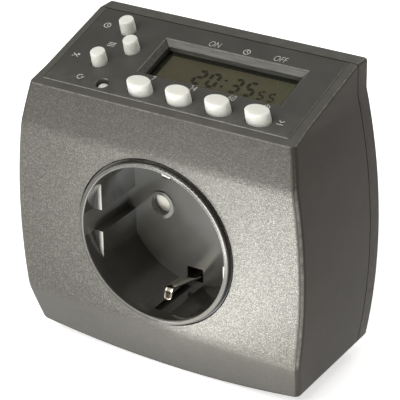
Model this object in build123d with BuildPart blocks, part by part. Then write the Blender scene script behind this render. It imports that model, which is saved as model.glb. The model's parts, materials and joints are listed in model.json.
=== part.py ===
from build123d import *
from math import asin, atan2, cos, degrees, hypot, sin, tan
import os

# A plug-in digital timer switch: a moulded box with a sloped control panel on top, an earthed
# socket in its front and the matching plug on its back. Sizes are in millimetres.
# X runs to the right as seen from the front, Y runs back towards the wall, Z runs up.
# The origin is the centre of the plug's end face, where the two pins come out.

os.makedirs("parts", exist_ok=True)

# Clearances that several pieces share
overrun = 1.0
fit_gap = 0.1
slide_gap = 0.18
turn_gap = 0.2

# Housing depths and walls
plug_length = 17.0
cover_depth = 5.3
wall = 2.2
seam_gap = 0.3
cover_back_y = -plug_length
seam_y = cover_back_y - cover_depth

# Socket insert: a round cup with a proud ring, sized for an earthed plug
socket_radius = 20.0
socket_draft = 0.3
socket_depth = 18.8
socket_floor = 2.0
ring_width = 1.3
ring_proud = 1.2
ring_edge_radius = 0.35
ring_gap = 0.65
flange_reach = 4.7
flange_rise = 0.4
flange_thickness = 1.8
guide_inset = 2.8
guide_start = 4.2
guide_slot_width = 6.0
pin_pitch = 19.0
pin_hole_radius = 2.75
pin_collar_width = 0.9
pin_collar_height = 0.35
clip_inset = 2.9
clip_slot_width = 4.6
clip_slot_height = 3.7
clip_channel_start = 3.5
clip_channel_rise = 0.9
clip_roof_rise = 2.4
clip_tower_wall = 1.4
pin_x = pin_pitch / 2
ring_radius = socket_radius + ring_width
flange_radius = ring_radius + flange_reach
flange_half_height = socket_radius + flange_rise
clip_height = socket_radius - clip_inset
clip_channel_roof = socket_radius + clip_roof_rise
clip_channel_top = socket_radius + clip_channel_rise

# Display and keys on the control panel; the keys are three tall round ones, a small sunken one
# and a row of four oval ones, and the panel is as wide and as long as they need
display_width = 39.6
display_height = 13.6
display_bevel = 1.1
display_rear_margin = 6.1
window_depth = 2.4
window_thickness = 0.9
window_border = 0.9
frame_wall = 1.5
frame_depth = 4.9
lcd_thickness = 2.0
zebra_width = 2.2
round_key_radius = 1.95
round_key_proud = 3.55
key_column_pitch = 5.2
reset_key_rise = 3.4
random_key_rise = 7.0
program_key_rise = 6.6
clock_key_rise = 6.5
reset_key_radius = 1.3
reset_key_sunk = 0.7
reset_hole_radius = 1.65
oval_key_width = 6.6
oval_key_height = 4.4
oval_key_proud = 3.25
oval_left_inset = 4.75
oval_right_inset = 2.55
key_top_radius = 0.55
key_rest_gap = 0.05
key_travel = 0.8
key_stop_gap = 0.1
key_flange_width = 0.8
key_flange_thickness = 0.8
key_display_gap = 0.75
oval_display_gap = 0.65
pill_thickness = 0.5
pill_radius = 1.1
mat_thickness = 0.8
mat_collar_width = 0.5
mat_collar_gap = 0.25
mat_edge = 0.4
post_mat_gap = 1.05
post_frame_gap = 0.4
collar_reach = key_flange_width + mat_collar_gap
collar_outer = collar_reach + mat_collar_width

# Control board under the panel, and the inset fascia above it
fascia_border = 2.3
fascia_margin = 2.2
fascia_proud = 0.2
fascia_lip = 1.5
fascia_body = 1.0
fascia_ledge = 0.9
fascia_rear_gap = 0.15
fascia_edge = 0.2
board_depth = 8.0
board_thickness = 1.6
board_side_gap = 1.9
board_margin = 1.8
board_rise = 2.5
post_inset = 2.0
post_drop = 0.25
post_radius = 1.6
small_screw_radius = 0.9
small_screw_length = 5.0
small_head_radius = 1.6
small_head_length = 1.2
post_reach = board_side_gap + post_inset + post_radius
label_margin = post_reach + post_mat_gap + mat_edge + collar_outer + round_key_radius
key_display_pitch = round_key_radius + collar_outer + key_display_gap + frame_wall
display_margin = post_reach + post_frame_gap + frame_wall
fascia_width = label_margin + key_column_pitch + key_display_pitch + display_width + display_margin
fascia_half_width = fascia_width / 2
left_key_x = label_margin - fascia_half_width
right_key_x = left_key_x + key_column_pitch
display_x = fascia_half_width - display_margin - display_width / 2
display_left = display_x - display_width / 2
display_right = display_x + display_width / 2
board_half_width = fascia_half_width - board_side_gap
post_x = board_half_width - post_inset
reset_key_up = board_margin + reset_key_rise
random_key_up = reset_key_up + random_key_rise
program_key_up = random_key_up + program_key_rise
clock_key_up = program_key_up + clock_key_rise
board_length = clock_key_up + board_rise - board_margin
oval_key_up = board_margin + mat_edge + collar_outer + oval_key_height / 2
display_low = oval_key_up + oval_key_height / 2 + collar_outer + oval_display_gap + frame_wall
display_up = display_low + display_height / 2
post_up = display_up - post_drop
fascia_bottom_depth = fascia_lip + fascia_body - fascia_proud
lcd_depth = window_depth + window_thickness
lcd_back_depth = lcd_depth + lcd_thickness
board_back_depth = board_depth + board_thickness
key_flange_depth = fascia_bottom_depth + key_rest_gap
pill_top_depth = board_depth - key_travel - key_stop_gap - pill_thickness
collar_top_depth = fascia_bottom_depth + mat_collar_gap
round_size = 2 * round_key_radius
reset_size = 2 * reset_key_radius
reset_gap = reset_hole_radius - reset_key_radius
keys = [
    ("clock_key", left_key_x, clock_key_up, round_size, round_size, round_key_proud, slide_gap),
    ("program_key", right_key_x, program_key_up, round_size, round_size, round_key_proud, slide_gap),
    ("random_key", left_key_x, random_key_up, round_size, round_size, round_key_proud, slide_gap),
    ("reset_key", right_key_x, reset_key_up, reset_size, reset_size, -reset_key_sunk, reset_gap),
]
oval_names = ("week_key", "hour_key", "minute_key", "manual_key")
oval_start_x = display_left + oval_left_inset
oval_pitch = (display_right - oval_right_inset - oval_start_x) / (len(oval_names) - 1)
for index, name in enumerate(oval_names):
    oval_x = oval_start_x + index * oval_pitch
    keys.append((name, oval_x, oval_key_up, oval_key_width, oval_key_height, oval_key_proud, slide_gap))

# Front face: a flat middle round the socket, with a brow and a chin that lean back from two creases
crease_margin = 1.3
crease_radius = 12.0
brow_setback = 2.3
chin_setback = 3.6
corner_radius = 1.6
panel_edge_radius = 0.8
panel_rise = 8.8
board_tower_gap = 0.684
crease_height = ring_radius + crease_margin
panel_length = display_low + display_height + display_rear_margin
panel_angle = asin(panel_rise / panel_length)
shell_depth = panel_length * cos(panel_angle) + brow_setback
face_y = seam_y - shell_depth
panel_front_y = face_y + brow_setback
board_drop = board_back_depth * cos(panel_angle) - board_margin * sin(panel_angle)
panel_front_height = clip_channel_roof + clip_tower_wall + board_tower_gap + board_drop

# Housing outline, seen from the front: as wide as the panel, as deep below the socket as the relay needs
shoulder_height = 7.5
base_flare = 1.15
side_bulge = 3.575
base_bulge = 3.45
keel_radius = 2.0
relay_width = 10.0
relay_cup_gap = 1.1
relay_base_gap = 1.35
top_half_width = fascia_half_width + fascia_border
top_height = panel_front_height + panel_rise
kink_height = top_height - shoulder_height
base_half_width = top_half_width + base_flare
base_drop = ring_radius + relay_cup_gap + relay_width + relay_base_gap
side_half_width = (top_half_width + base_half_width) / 2 + side_bulge

# Shutter behind the socket's floor, with its return spring
shutter_reach = 3.7
shutter_half_height = 4.2
shutter_hub_radius = 4.6
shutter_thickness = 1.8
shutter_room = 2.4
skirt_width = 1.8
pivot_radius = 1.5
pivot_gap = 0.05
spring_radius = 2.3
spring_wire_radius = 0.15
spring_pitch = 0.75
spring_turns = 3
shutter_radius = pin_x + shutter_reach
skirt_inner_radius = shutter_radius + shutter_room
skirt_outer_radius = skirt_inner_radius + skirt_width
ring_front_y = face_y - ring_proud
floor_front_y = ring_front_y + socket_depth
floor_back_y = floor_front_y + socket_floor
shutter_front_y = floor_back_y + turn_gap
shutter_back_y = shutter_front_y + shutter_thickness
spring_start_y = shutter_back_y + spring_wire_radius
spring_end_y = spring_start_y + spring_pitch * spring_turns + spring_wire_radius

# Metal strips of the earth path and the live contacts
strip_thickness = 0.6
strip_width = 4.0
strip_bend_radius = 0.8
clip_touch_inset = 4.9
clip_touch_depth = 7.1
clip_tip_inset = 1.95
clip_tip_depth = 5.5
clip_tip_width = 2.2
rivet_radius = 1.5
rivet_head_radius = 2.4
rivet_head_length = 0.7
earth_pad_end = 4.0
fork_thickness = 0.7
fork_width = 6.0
fork_tail_width = 3.4
busbar_height = 6.7
foot_length = 5.0
clip_touch_height = socket_radius - clip_touch_inset
clip_tip_height = socket_radius - clip_tip_inset
rivet_front_y = spring_end_y + turn_gap
bar_front_y = rivet_front_y + rivet_head_length
carrier_front_y = bar_front_y + strip_thickness

# Rear cover and plug body, as wide as the straps to the pins need
cover_wall = 2.0
cover_edge_radius = 0.9
tongue_width = 1.2
tongue_reach = 2.0
plug_edge_radius = 1.2
plug_end_wall = 3.0
plug_leg_gap = 1.35
plug_notch_wall = 1.6
guide_flat_depth = 2.6
guide_ridge_gap = 0.3
earth_notch_width = 8.0
earth_notch_depth = 2.3
pin_radius = 2.4
pin_length = 19.0
pin_tip_radius = 1.6
pin_shank_radius = 2.0
pin_head_radius = 3.2
pin_head_length = 1.2
cover_inner_y = cover_back_y - cover_wall
seam_cover_y = seam_y + seam_gap
pin_head_y = -plug_end_wall - pin_head_length
fork_half_gap = pin_radius
fork_base_y = cover_inner_y - fork_thickness
leg_corner = hypot(pin_x + fork_tail_width / 2, busbar_height + fork_thickness / 2)
plug_cavity_radius = leg_corner + plug_leg_gap
earth_notch_floor = plug_cavity_radius + plug_notch_wall
plug_radius = earth_notch_floor + earth_notch_depth
plug_strip_height = earth_notch_floor + strip_thickness / 2 + fit_gap

# Screws of the rear cover, in bosses of the front shell
upper_screw_inset = 5.65
upper_screw_height = 14.0
lower_screw_inset = 4.25
lower_screw_rise = 5.25
boss_radius = 3.2
screw_radius = 1.3
screw_length = 12.0
screw_head_radius = 2.5
screw_head_length = 1.8
screw_well_depth = 2.2
cross_length = 2.6
cross_width = 0.6
cross_depth = 0.9
upper_screw_x = side_half_width - upper_screw_inset
lower_screw_x = base_half_width - lower_screw_inset
lower_screw_drop = base_drop - lower_screw_rise
cover_screw_places = [
    (-upper_screw_x, upper_screw_height),
    (upper_screw_x, upper_screw_height),
    (-lower_screw_x, -lower_screw_drop),
    (lower_screw_x, -lower_screw_drop),
]
screw_seat_y = cover_back_y - screw_well_depth

# Parts on the back of the control board
chip_offset = 1.0
chip_drop = 3.65
chip_radius = 5.0
chip_height = 1.4
chip_edge_radius = 1.0
crystal_inset = 6.8
crystal_drop = 3.85
crystal_radius = 1.0
crystal_length = 6.0
battery_offset = 1.75
battery_drop = 3.65
battery_radius = 5.8
battery_height = 5.4
battery_edge_radius = 0.6
tab_width = 3.0
tab_thickness = 0.3
tab_leg_gap = 0.6
chip_x = display_x - chip_offset
chip_up = display_up - chip_drop
crystal_x = display_right - crystal_inset
crystal_up = display_low - crystal_drop
battery_x = left_key_x + battery_offset
battery_up = display_up - battery_drop

# Power board and its parts, upright behind the socket insert
power_board_setback = 5.8
power_board_top = 20.0
power_board_gap = 0.8
power_bore_gap = 1.7
power_post_reach = 5.0
power_post_height = 3.0
power_post_radius = 2.4
relay_boss_gap = 2.2
relay_length = 20.0
relay_height = 15.8
part_edge_radius = 0.6
film_boss_gap = 3.2
film_base_gap = 0.8
film_length = 18.0
film_width = 7.5
film_height = 13.5
electrolytic_inset = 10.45
electrolytic_gap = 3.7
electrolytic_radius = 4.0
electrolytic_length = 12.0
electrolytic_groove = 0.4
electrolytic_groove_rise = 2.0
rectifier_inset = 10.15
rectifier_gap = 0.85
rectifier_width = 6.5
rectifier_length = 8.5
rectifier_height = 3.4
varistor_inset = 10.65
varistor_gap = 1.75
varistor_radius = 5.0
varistor_thickness = 4.0
varistor_stand = 2.0
varistor_lead_radius = 0.4
varistor_lead_pitch = 5.0
resistor_inset = 12.15
resistor_gap = 0.1
resistor_radius = 1.5
resistor_cap_radius = 1.8
resistor_cap_length = 1.5
resistor_length = 9.0
ribbon_inset = 8.3
ribbon_width = 8.0
ribbon_thickness = 0.5
ribbon_bow = 2.2
ribbon_bow_rise = 5.0
ribbon_low_height = 14.0
ribbon_bend_radius = 1.5
power_board_y = seam_y - power_board_setback
power_board_back_y = power_board_y + board_thickness
power_board_bore = ring_radius + power_bore_gap
power_post_x = power_board_bore + power_post_reach
relay_x = lower_screw_x - boss_radius - relay_boss_gap - relay_length / 2
relay_top = ring_radius + relay_cup_gap
relay_drop = relay_top + relay_width / 2
film_x = film_boss_gap + boss_radius + film_length / 2 - lower_screw_x
film_drop = base_drop - film_base_gap - film_width / 2
resistor_x = side_half_width - resistor_inset
resistor_drop = relay_top - resistor_gap - resistor_cap_radius
electrolytic_x = side_half_width - electrolytic_inset
electrolytic_drop = resistor_drop - resistor_cap_radius - electrolytic_gap - electrolytic_radius
rectifier_x = rectifier_inset - side_half_width
rectifier_drop = power_post_radius - power_post_height + rectifier_gap + rectifier_length / 2
varistor_x = varistor_inset - side_half_width
varistor_drop = rectifier_drop + rectifier_length / 2 + varistor_gap + varistor_radius
ribbon_x = board_half_width - ribbon_inset


def facing(y):
    """An upright plane at depth y, seen from the front: X to the right, Z up, facing forwards."""
    return Plane((0, y, 0), x_dir=(1, 0, 0), z_dir=(0, -1, 0))


panel = Plane(
    (0, panel_front_y, panel_front_height),
    x_dir=(1, 0, 0),
    z_dir=(0, -sin(panel_angle), cos(panel_angle)),
)


def below(depth):
    """The plane parallel to the control panel, this far under its surface."""
    return panel.offset(-depth)


def outline_face(inset=0):
    """The housing's outline from the front: straight shoulders, bowed sides and a bowed base."""
    with BuildSketch() as plan:
        with BuildLine():
            side_z = (kink_height - base_drop) / 2
            Polyline(
                (-top_half_width, kink_height),
                (-top_half_width, top_height),
                (top_half_width, top_height),
                (top_half_width, kink_height),
            )
            ThreePointArc(
                (top_half_width, kink_height),
                (side_half_width, side_z),
                (base_half_width, -base_drop),
            )
            ThreePointArc(
                (base_half_width, -base_drop),
                (0, -base_drop - base_bulge),
                (-base_half_width, -base_drop),
            )
            ThreePointArc(
                (-base_half_width, -base_drop),
                (-side_half_width, side_z),
                (-top_half_width, kink_height),
            )
        make_face()
        if inset > 0:
            offset(amount=-inset)
        else:
            fillet(plan.vertices().group_by(Axis.Y)[0], radius=keel_radius)
    return plan.sketch


def profile_face(inset=0):
    """The front housing from the side: chin, flat middle, brow and sloped panel, open at the back."""
    rear_y = seam_y + wall + overrun
    low = base_drop + base_bulge + wall + overrun
    low_y = face_y + chin_setback * (low - crease_height) / (base_drop - crease_height)
    with BuildSketch() as side:
        with BuildLine():
            Polyline(
                (rear_y, -low),
                (low_y, -low),
                (face_y, -crease_height),
                (face_y, crease_height),
                (panel_front_y, panel_front_height),
                (rear_y, top_height + (rear_y - seam_y) * tan(panel_angle)),
                close=True,
            )
        make_face()
        fillet(side.vertices().group_by(Axis.X)[0], radius=crease_radius)
        if inset > 0:
            offset(amount=-inset)
    return side.sketch


def housing_block(inset=0):
    """The front housing's solid form, drawn in by an inset all round, open to the seam."""
    with BuildPart() as block:
        with BuildSketch(facing(seam_y)):
            add(outline_face(inset))
        extrude(amount=shell_depth + overrun)
        with BuildSketch(Plane.YZ):
            add(profile_face(inset))
        extrude(amount=base_half_width + side_bulge + overrun, both=True, mode=Mode.INTERSECT)
    return block.part


def bent_strip(points, bend_radius, thickness, width):
    """A metal strip bent along points (y, z), centred on the middle plane."""
    with BuildPart() as strip:
        with BuildSketch(Plane.YZ):
            with BuildLine():
                FilletPolyline(*points, radius=bend_radius)
            trace(line_width=thickness)
        extrude(amount=width / 2, both=True)
    return strip.part


def key_outline(width, height, spread):
    """A key's round or oval outline, spread outwards by a distance."""
    if width > height:
        Ellipse(width / 2 + spread, height / 2 + spread)
    else:
        Circle(width / 2 + spread)


def write(part, name):
    """Labels a finished piece and writes its file."""
    part.label = name
    export_step(part, f"parts/{name}.step")


# Front shell: the moulded housing, open at the back, with screw bosses behind its front wall
with BuildPart() as shell_bosses:
    with BuildSketch(facing(seam_y)):
        with Locations(*cover_screw_places):
            Circle(boss_radius)
    extrude(amount=shell_depth)
    add(housing_block(wall / 2), mode=Mode.INTERSECT)

with BuildPart() as front_shell:
    add(housing_block())
    front_limit_y = face_y + chin_setback + base_bulge
    rim = edges().filter_by(lambda e: e.center().Y < front_limit_y)
    below_panel = rim.filter_by(lambda e: e.center().Z < panel_front_height - corner_radius)
    corners = below_panel.filter_by(lambda e: abs(e.center().X) > top_half_width / 2)
    lower_edge = below_panel.filter_by(lambda e: e.center().Z < -base_drop)
    fillet(corners + lower_edge, radius=corner_radius)
    sloped = faces().filter_by(lambda f: f.normal_at().dot(panel.z_dir) > cos(panel_angle))
    panel_edges = sloped.sort_by(Axis.Z)[-1].edges()
    fillet(panel_edges.filter_by(lambda e: e.center().Y < seam_y - overrun), radius=panel_edge_radius)
    add(housing_block(wall), mode=Mode.SUBTRACT)
    add(shell_bosses.part)
    with BuildSketch(panel):
        with Locations((0, (fascia_margin + panel_length + overrun) / 2)):
            Rectangle(2 * fascia_half_width, panel_length + overrun - fascia_margin)
    extrude(amount=fascia_proud - fascia_lip, mode=Mode.SUBTRACT)
    with BuildSketch(panel):
        with Locations((0, (fascia_margin + panel_length) / 2)):
            Rectangle(
                2 * (fascia_half_width - fascia_ledge),
                panel_length - fascia_margin - 2 * fascia_ledge,
            )
    extrude(amount=-wall - overrun, mode=Mode.SUBTRACT)
    with BuildSketch(facing(face_y + wall + overrun)):
        Circle(ring_radius + ring_gap)
    extrude(amount=wall + 2 * overrun, mode=Mode.SUBTRACT)
    with BuildSketch(facing(seam_y)):
        with Locations(*cover_screw_places):
            Circle(screw_radius + fit_gap)
    extrude(amount=screw_length, mode=Mode.SUBTRACT)
write(front_shell.part, "front_shell")

# Rear cover: a shallow tray with a tongue inside the shell, and the hollow round plug body
with BuildPart() as rear_cover:
    with BuildSketch(facing(cover_back_y)):
        add(outline_face())
    extrude(amount=cover_depth - seam_gap)
    fillet(edges().filter_by(Axis.Y).group_by(Axis.Z)[-1], radius=panel_edge_radius)
    fillet(edges().group_by(Axis.Y)[-1], radius=cover_edge_radius)
    with BuildSketch(facing(seam_cover_y)):
        add(outline_face(wall + fit_gap))
    extrude(amount=tongue_reach + seam_gap)
    with BuildSketch(facing(cover_inner_y)):
        add(outline_face(wall + fit_gap + tongue_width))
    extrude(amount=cover_depth + tongue_reach, mode=Mode.SUBTRACT)
    with BuildSketch(facing(seam_cover_y)):
        with Locations((0, kink_height)):
            Rectangle(2 * (top_half_width + overrun), 2 * (top_height - kink_height + overrun))
        with Locations(*cover_screw_places):
            Circle(boss_radius + fit_gap)
    extrude(amount=tongue_reach + seam_gap + overrun, mode=Mode.SUBTRACT)
    with BuildSketch(facing(cover_inner_y)):
        with Locations(*cover_screw_places):
            Circle(boss_radius)
    extrude(amount=cover_inner_y - seam_y)
    with BuildSketch(facing(cover_inner_y)):
        with Locations((-power_post_x, power_post_height), (power_post_x, power_post_height)):
            Circle(power_post_radius)
    extrude(amount=cover_inner_y - power_board_back_y)
    with BuildSketch(facing(power_board_back_y)):
        with Locations((-power_post_x, power_post_height), (power_post_x, power_post_height)):
            Circle(small_screw_radius + fit_gap)
    extrude(amount=-small_screw_length, mode=Mode.SUBTRACT)
    with BuildSketch(facing(cover_back_y)):
        with Locations(*cover_screw_places):
            Circle(screw_head_radius + fit_gap)
    extrude(amount=screw_well_depth, mode=Mode.SUBTRACT)
    with BuildSketch(facing(cover_back_y)):
        with Locations(*cover_screw_places):
            Circle(screw_radius + fit_gap)
    extrude(amount=cover_depth + overrun, mode=Mode.SUBTRACT)
    with BuildSketch(facing(0)):
        Circle(plug_radius)
    extrude(amount=plug_length)
    fillet(edges().group_by(Axis.Y)[-1], radius=plug_edge_radius)
    with BuildSketch(facing(0)):
        with Locations((-plug_radius, 0), (plug_radius, 0)):
            Rectangle(2 * guide_flat_depth, 2 * plug_radius)
        ridge_width = guide_slot_width - 2 * guide_ridge_gap
        Rectangle(2 * (plug_radius + guide_flat_depth), ridge_width, mode=Mode.SUBTRACT)
        with Locations((0, -plug_radius), (0, plug_radius)):
            Rectangle(earth_notch_width, 2 * (plug_radius - earth_notch_floor))
    extrude(amount=plug_length, mode=Mode.SUBTRACT)
    with BuildSketch(facing(-plug_end_wall)):
        Circle(plug_cavity_radius)
    extrude(amount=plug_length + overrun, mode=Mode.SUBTRACT)
    with BuildSketch(facing(0)):
        with Locations((-pin_x, 0), (pin_x, 0)):
            Circle(pin_shank_radius)
    extrude(amount=plug_end_wall, mode=Mode.SUBTRACT)
    with BuildSketch(facing(cover_back_y + overrun)):
        with Locations((0, -plug_strip_height), (0, plug_strip_height)):
            Rectangle(strip_width + 2 * fit_gap, strip_thickness + 2 * slide_gap)
    extrude(amount=cover_wall + 2 * overrun, mode=Mode.SUBTRACT)
    with BuildSketch(facing(cover_inner_y + strip_thickness + fit_gap)):
        Rectangle(strip_width + 2 * fit_gap, 2 * plug_strip_height)
    extrude(amount=strip_thickness + fit_gap + overrun, mode=Mode.SUBTRACT)
write(rear_cover.part, "rear_cover")

# Socket insert: the round cup with its proud ring, seated behind the shell's front wall
with BuildPart() as socket_insert:
    with BuildSketch(Plane.XY) as cup:
        with BuildLine():
            Polyline(
                (0, floor_front_y),
                (socket_radius - socket_draft, floor_front_y),
                (socket_radius, ring_front_y),
                (ring_radius, ring_front_y),
                (ring_radius, floor_back_y),
                (0, floor_back_y),
                close=True,
            )
        make_face()
        fillet(cup.vertices().group_by(Axis.Y)[0], radius=ring_edge_radius)
    revolve(axis=Axis.Y)
    with BuildSketch(facing(face_y + wall + flange_thickness)):
        Circle(flange_radius)
        Rectangle(2 * flange_radius, 2 * flange_half_height, mode=Mode.INTERSECT)
        Circle(socket_radius + ring_width / 2, mode=Mode.SUBTRACT)
    extrude(amount=flange_thickness)
    with BuildSketch(facing(floor_back_y)):
        with Locations((0, clip_channel_roof / 2), (0, -clip_channel_roof / 2)):
            Rectangle(clip_slot_width + 2 * clip_tower_wall, clip_channel_roof + 2 * clip_tower_wall)
        Circle(socket_radius + ring_width / 2, mode=Mode.SUBTRACT)
    extrude(amount=floor_back_y - face_y - wall - flange_thickness)
    with BuildSketch(facing(floor_front_y)):
        Circle(socket_radius + ring_width / 2)
        Rectangle(2 * (socket_radius - guide_inset), 2 * ring_radius, mode=Mode.SUBTRACT)
        Rectangle(2 * ring_radius, guide_slot_width, mode=Mode.SUBTRACT)
    extrude(amount=socket_depth - guide_start)
    with BuildSketch(facing(floor_front_y)):
        with Locations((-pin_x, 0), (pin_x, 0)):
            Circle(pin_hole_radius + pin_collar_width)
    extrude(amount=pin_collar_height)
    with BuildSketch(facing(floor_back_y)):
        Circle(skirt_outer_radius)
        Circle(skirt_inner_radius, mode=Mode.SUBTRACT)
    extrude(amount=floor_back_y - carrier_front_y)
    with BuildSketch(facing(floor_back_y)):
        Circle(pivot_radius)
    extrude(amount=floor_back_y - spring_end_y)
    with BuildSketch(facing(floor_back_y)):
        with Locations((-pin_x, 0), (pin_x, 0)):
            Circle(pin_hole_radius)
    extrude(amount=socket_floor + pin_collar_height, mode=Mode.SUBTRACT)
    with BuildSketch(facing(floor_front_y)):
        with Locations((0, clip_touch_height), (0, -clip_touch_height)):
            Rectangle(clip_slot_width, 2 * (clip_channel_top - clip_touch_height))
    extrude(amount=socket_depth - clip_channel_start, mode=Mode.SUBTRACT)
    with BuildSketch(facing(carrier_front_y + overrun)):
        with Locations((0, clip_height), (0, -clip_height)):
            Rectangle(clip_slot_width, clip_slot_height)
    extrude(amount=carrier_front_y + 2 * overrun - floor_front_y, mode=Mode.SUBTRACT)
    with BuildSketch(facing(carrier_front_y + overrun)):
        Rectangle(clip_slot_width, 2 * clip_height)
    extrude(amount=carrier_front_y + overrun + fit_gap - bar_front_y, mode=Mode.SUBTRACT)
write(socket_insert.part, "socket_insert")

# Shutter: a two-armed plate on the insert's pivot that closes both pin holes
with BuildPart() as shutter:
    with BuildSketch(facing(shutter_back_y)):
        Circle(shutter_radius)
        Rectangle(2 * shutter_radius, 2 * shutter_half_height, mode=Mode.INTERSECT)
        Circle(shutter_hub_radius)
        Circle(pivot_radius + pivot_gap, mode=Mode.SUBTRACT)
    extrude(amount=shutter_thickness)
write(shutter.part, "shutter")

# Shutter spring: a small coil round the pivot
with BuildPart() as shutter_spring:
    with BuildLine():
        coil = Helix(
            pitch=spring_pitch,
            height=spring_pitch * spring_turns,
            radius=spring_radius,
            center=(0, spring_start_y, 0),
            direction=(0, 1, 0),
        )
    with BuildSketch(Plane(origin=coil @ 0, z_dir=coil % 0)):
        Circle(spring_wire_radius)
    sweep(is_frenet=True)
write(shutter_spring.part, "shutter_spring")

# Contact carrier: the insulating block behind the insert that holds the live contacts
with BuildPart() as contact_carrier:
    with BuildSketch(facing(cover_inner_y)):
        Circle(skirt_outer_radius)
    extrude(amount=cover_inner_y - carrier_front_y)
    with BuildSketch(facing(cover_inner_y)):
        with Locations((-pin_x, 0), (pin_x, 0)):
            Rectangle(2 * (fork_half_gap + fork_thickness + fit_gap), fork_width + 2 * fit_gap)
        Circle(rivet_radius + fit_gap)
    extrude(amount=cover_inner_y - carrier_front_y, mode=Mode.SUBTRACT)
    with BuildSketch(facing(cover_inner_y)):
        with Locations((-skirt_outer_radius, 0), (skirt_outer_radius, 0)):
            Rectangle(2 * (skirt_outer_radius - pin_x) + fork_width, fork_width + 2 * fit_gap)
        with Locations((skirt_outer_radius, busbar_height)):
            Rectangle(2 * (skirt_outer_radius - pin_x) + fork_width, fork_tail_width + 2 * fit_gap)
        with Locations((-pin_x, -busbar_height / 2)):
            Rectangle(fork_width, busbar_height + fork_tail_width)
    extrude(amount=fork_thickness + fit_gap, mode=Mode.SUBTRACT)
write(contact_carrier.part, "contact_carrier")

# Earth strap: one strip with a sprung clip at each end, joined behind the shutter
clip_touch_y = ring_front_y + clip_touch_depth
clip_tip_y = ring_front_y + clip_tip_depth
bar_y = bar_front_y + strip_thickness / 2
half_strap = [
    (clip_tip_y, clip_tip_height),
    (clip_touch_y, clip_touch_height),
    (floor_front_y, clip_height),
    (bar_y, clip_height),
]
with BuildPart() as earth_strap:
    add(
        bent_strip(
            half_strap + [(y, -z) for y, z in reversed(half_strap)],
            strip_bend_radius,
            strip_thickness,
            strip_width,
        )
    )
    with BuildSketch(Plane.XY):
        with BuildLine():
            Polyline(
                (-strip_width / 2, bar_y + overrun),
                (-strip_width / 2, floor_front_y),
                (-clip_tip_width / 2, clip_tip_y - overrun),
                (clip_tip_width / 2, clip_tip_y - overrun),
                (strip_width / 2, floor_front_y),
                (strip_width / 2, bar_y + overrun),
                close=True,
            )
        make_face()
    extrude(amount=clip_channel_roof, both=True, mode=Mode.INTERSECT)
    with BuildSketch(facing(bar_front_y + strip_thickness)):
        Circle(rivet_radius)
    extrude(amount=strip_thickness, mode=Mode.SUBTRACT)
write(earth_strap.part, "earth_strap")

# Plug earth strap: the strips in the plug body's notches, joined inside the cover
plug_bar_y = cover_inner_y + strip_thickness / 2
half_plug_strap = [(-earth_pad_end, plug_strip_height), (plug_bar_y, plug_strip_height)]
with BuildPart() as plug_earth_strap:
    add(
        bent_strip(
            half_plug_strap + [(y, -z) for y, z in reversed(half_plug_strap)],
            strip_thickness,
            strip_thickness,
            strip_width,
        )
    )
    with BuildSketch(facing(cover_inner_y + strip_thickness)):
        Circle(rivet_radius)
    extrude(amount=strip_thickness, mode=Mode.SUBTRACT)
write(plug_earth_strap.part, "plug_earth_strap")

# Earth rivet: joins both earth straps through the carrier
with BuildPart() as earth_rivet:
    with BuildSketch(facing(cover_inner_y + strip_thickness)):
        Circle(rivet_radius)
    extrude(amount=cover_inner_y + strip_thickness - bar_front_y)
    with BuildSketch(facing(bar_front_y), facing(cover_inner_y + strip_thickness + rivet_head_length)):
        Circle(rivet_head_radius)
    extrude(amount=rivet_head_length)
write(earth_rivet.part, "earth_rivet")


# Live contacts: a sprung fork for each pin, with a tail to the power board
def contact(side, to_pin):
    """A fork at side (-1 left, 1 right); the one that goes to its pin has a leg and a foot for it."""
    fork_x = side * pin_x
    tail_x = side * (power_board_bore + foot_length / 2)
    tail_length = abs(tail_x - fork_x) + fork_thickness / 2
    tail_middle = fork_x + side * tail_length / 2
    with BuildPart() as fork:
        with BuildSketch(facing(fork_base_y)):
            leaf_x = fork_half_gap + fork_thickness / 2
            with Locations((fork_x - leaf_x, 0), (fork_x + leaf_x, 0)):
                Rectangle(fork_thickness, fork_width)
        extrude(amount=fork_base_y - carrier_front_y)
        with BuildSketch(facing(cover_inner_y)):
            with Locations((fork_x, 0)):
                Rectangle(2 * (fork_half_gap + fork_thickness), fork_width)
            with Locations((tail_middle, 0)):
                Rectangle(tail_length, fork_tail_width)
            if to_pin:
                with Locations((fork_x, -busbar_height / 2)):
                    Rectangle(fork_tail_width, busbar_height)
        extrude(amount=fork_thickness)
        with BuildSketch(facing(cover_inner_y)):
            with Locations((tail_x, 0)):
                Rectangle(fork_thickness, fork_tail_width)
        extrude(amount=cover_inner_y - power_board_back_y)
        if to_pin:
            add(pin_leg(fork_x, -1))
    return fork.part


def pin_leg(leg_x, up):
    """The strap along the plug's hollow to the head of a pin, above it (1) or below it (-1)."""
    with BuildPart() as leg:
        with BuildSketch(facing(pin_head_y)):
            with Locations((leg_x, up * busbar_height)):
                Rectangle(fork_tail_width, fork_thickness)
        extrude(amount=pin_head_y - fork_base_y)
        with BuildSketch(facing(pin_head_y)):
            with Locations((leg_x, up * busbar_height / 2)):
                Rectangle(fork_tail_width, busbar_height + fork_thickness)
        extrude(amount=fork_thickness)
    return leg.part


with BuildPart() as line_contact:
    add(contact(1, False))
write(line_contact.part, "line_contact")

with BuildPart() as neutral_contact:
    add(contact(-1, True))
write(neutral_contact.part, "neutral_contact")

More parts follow.
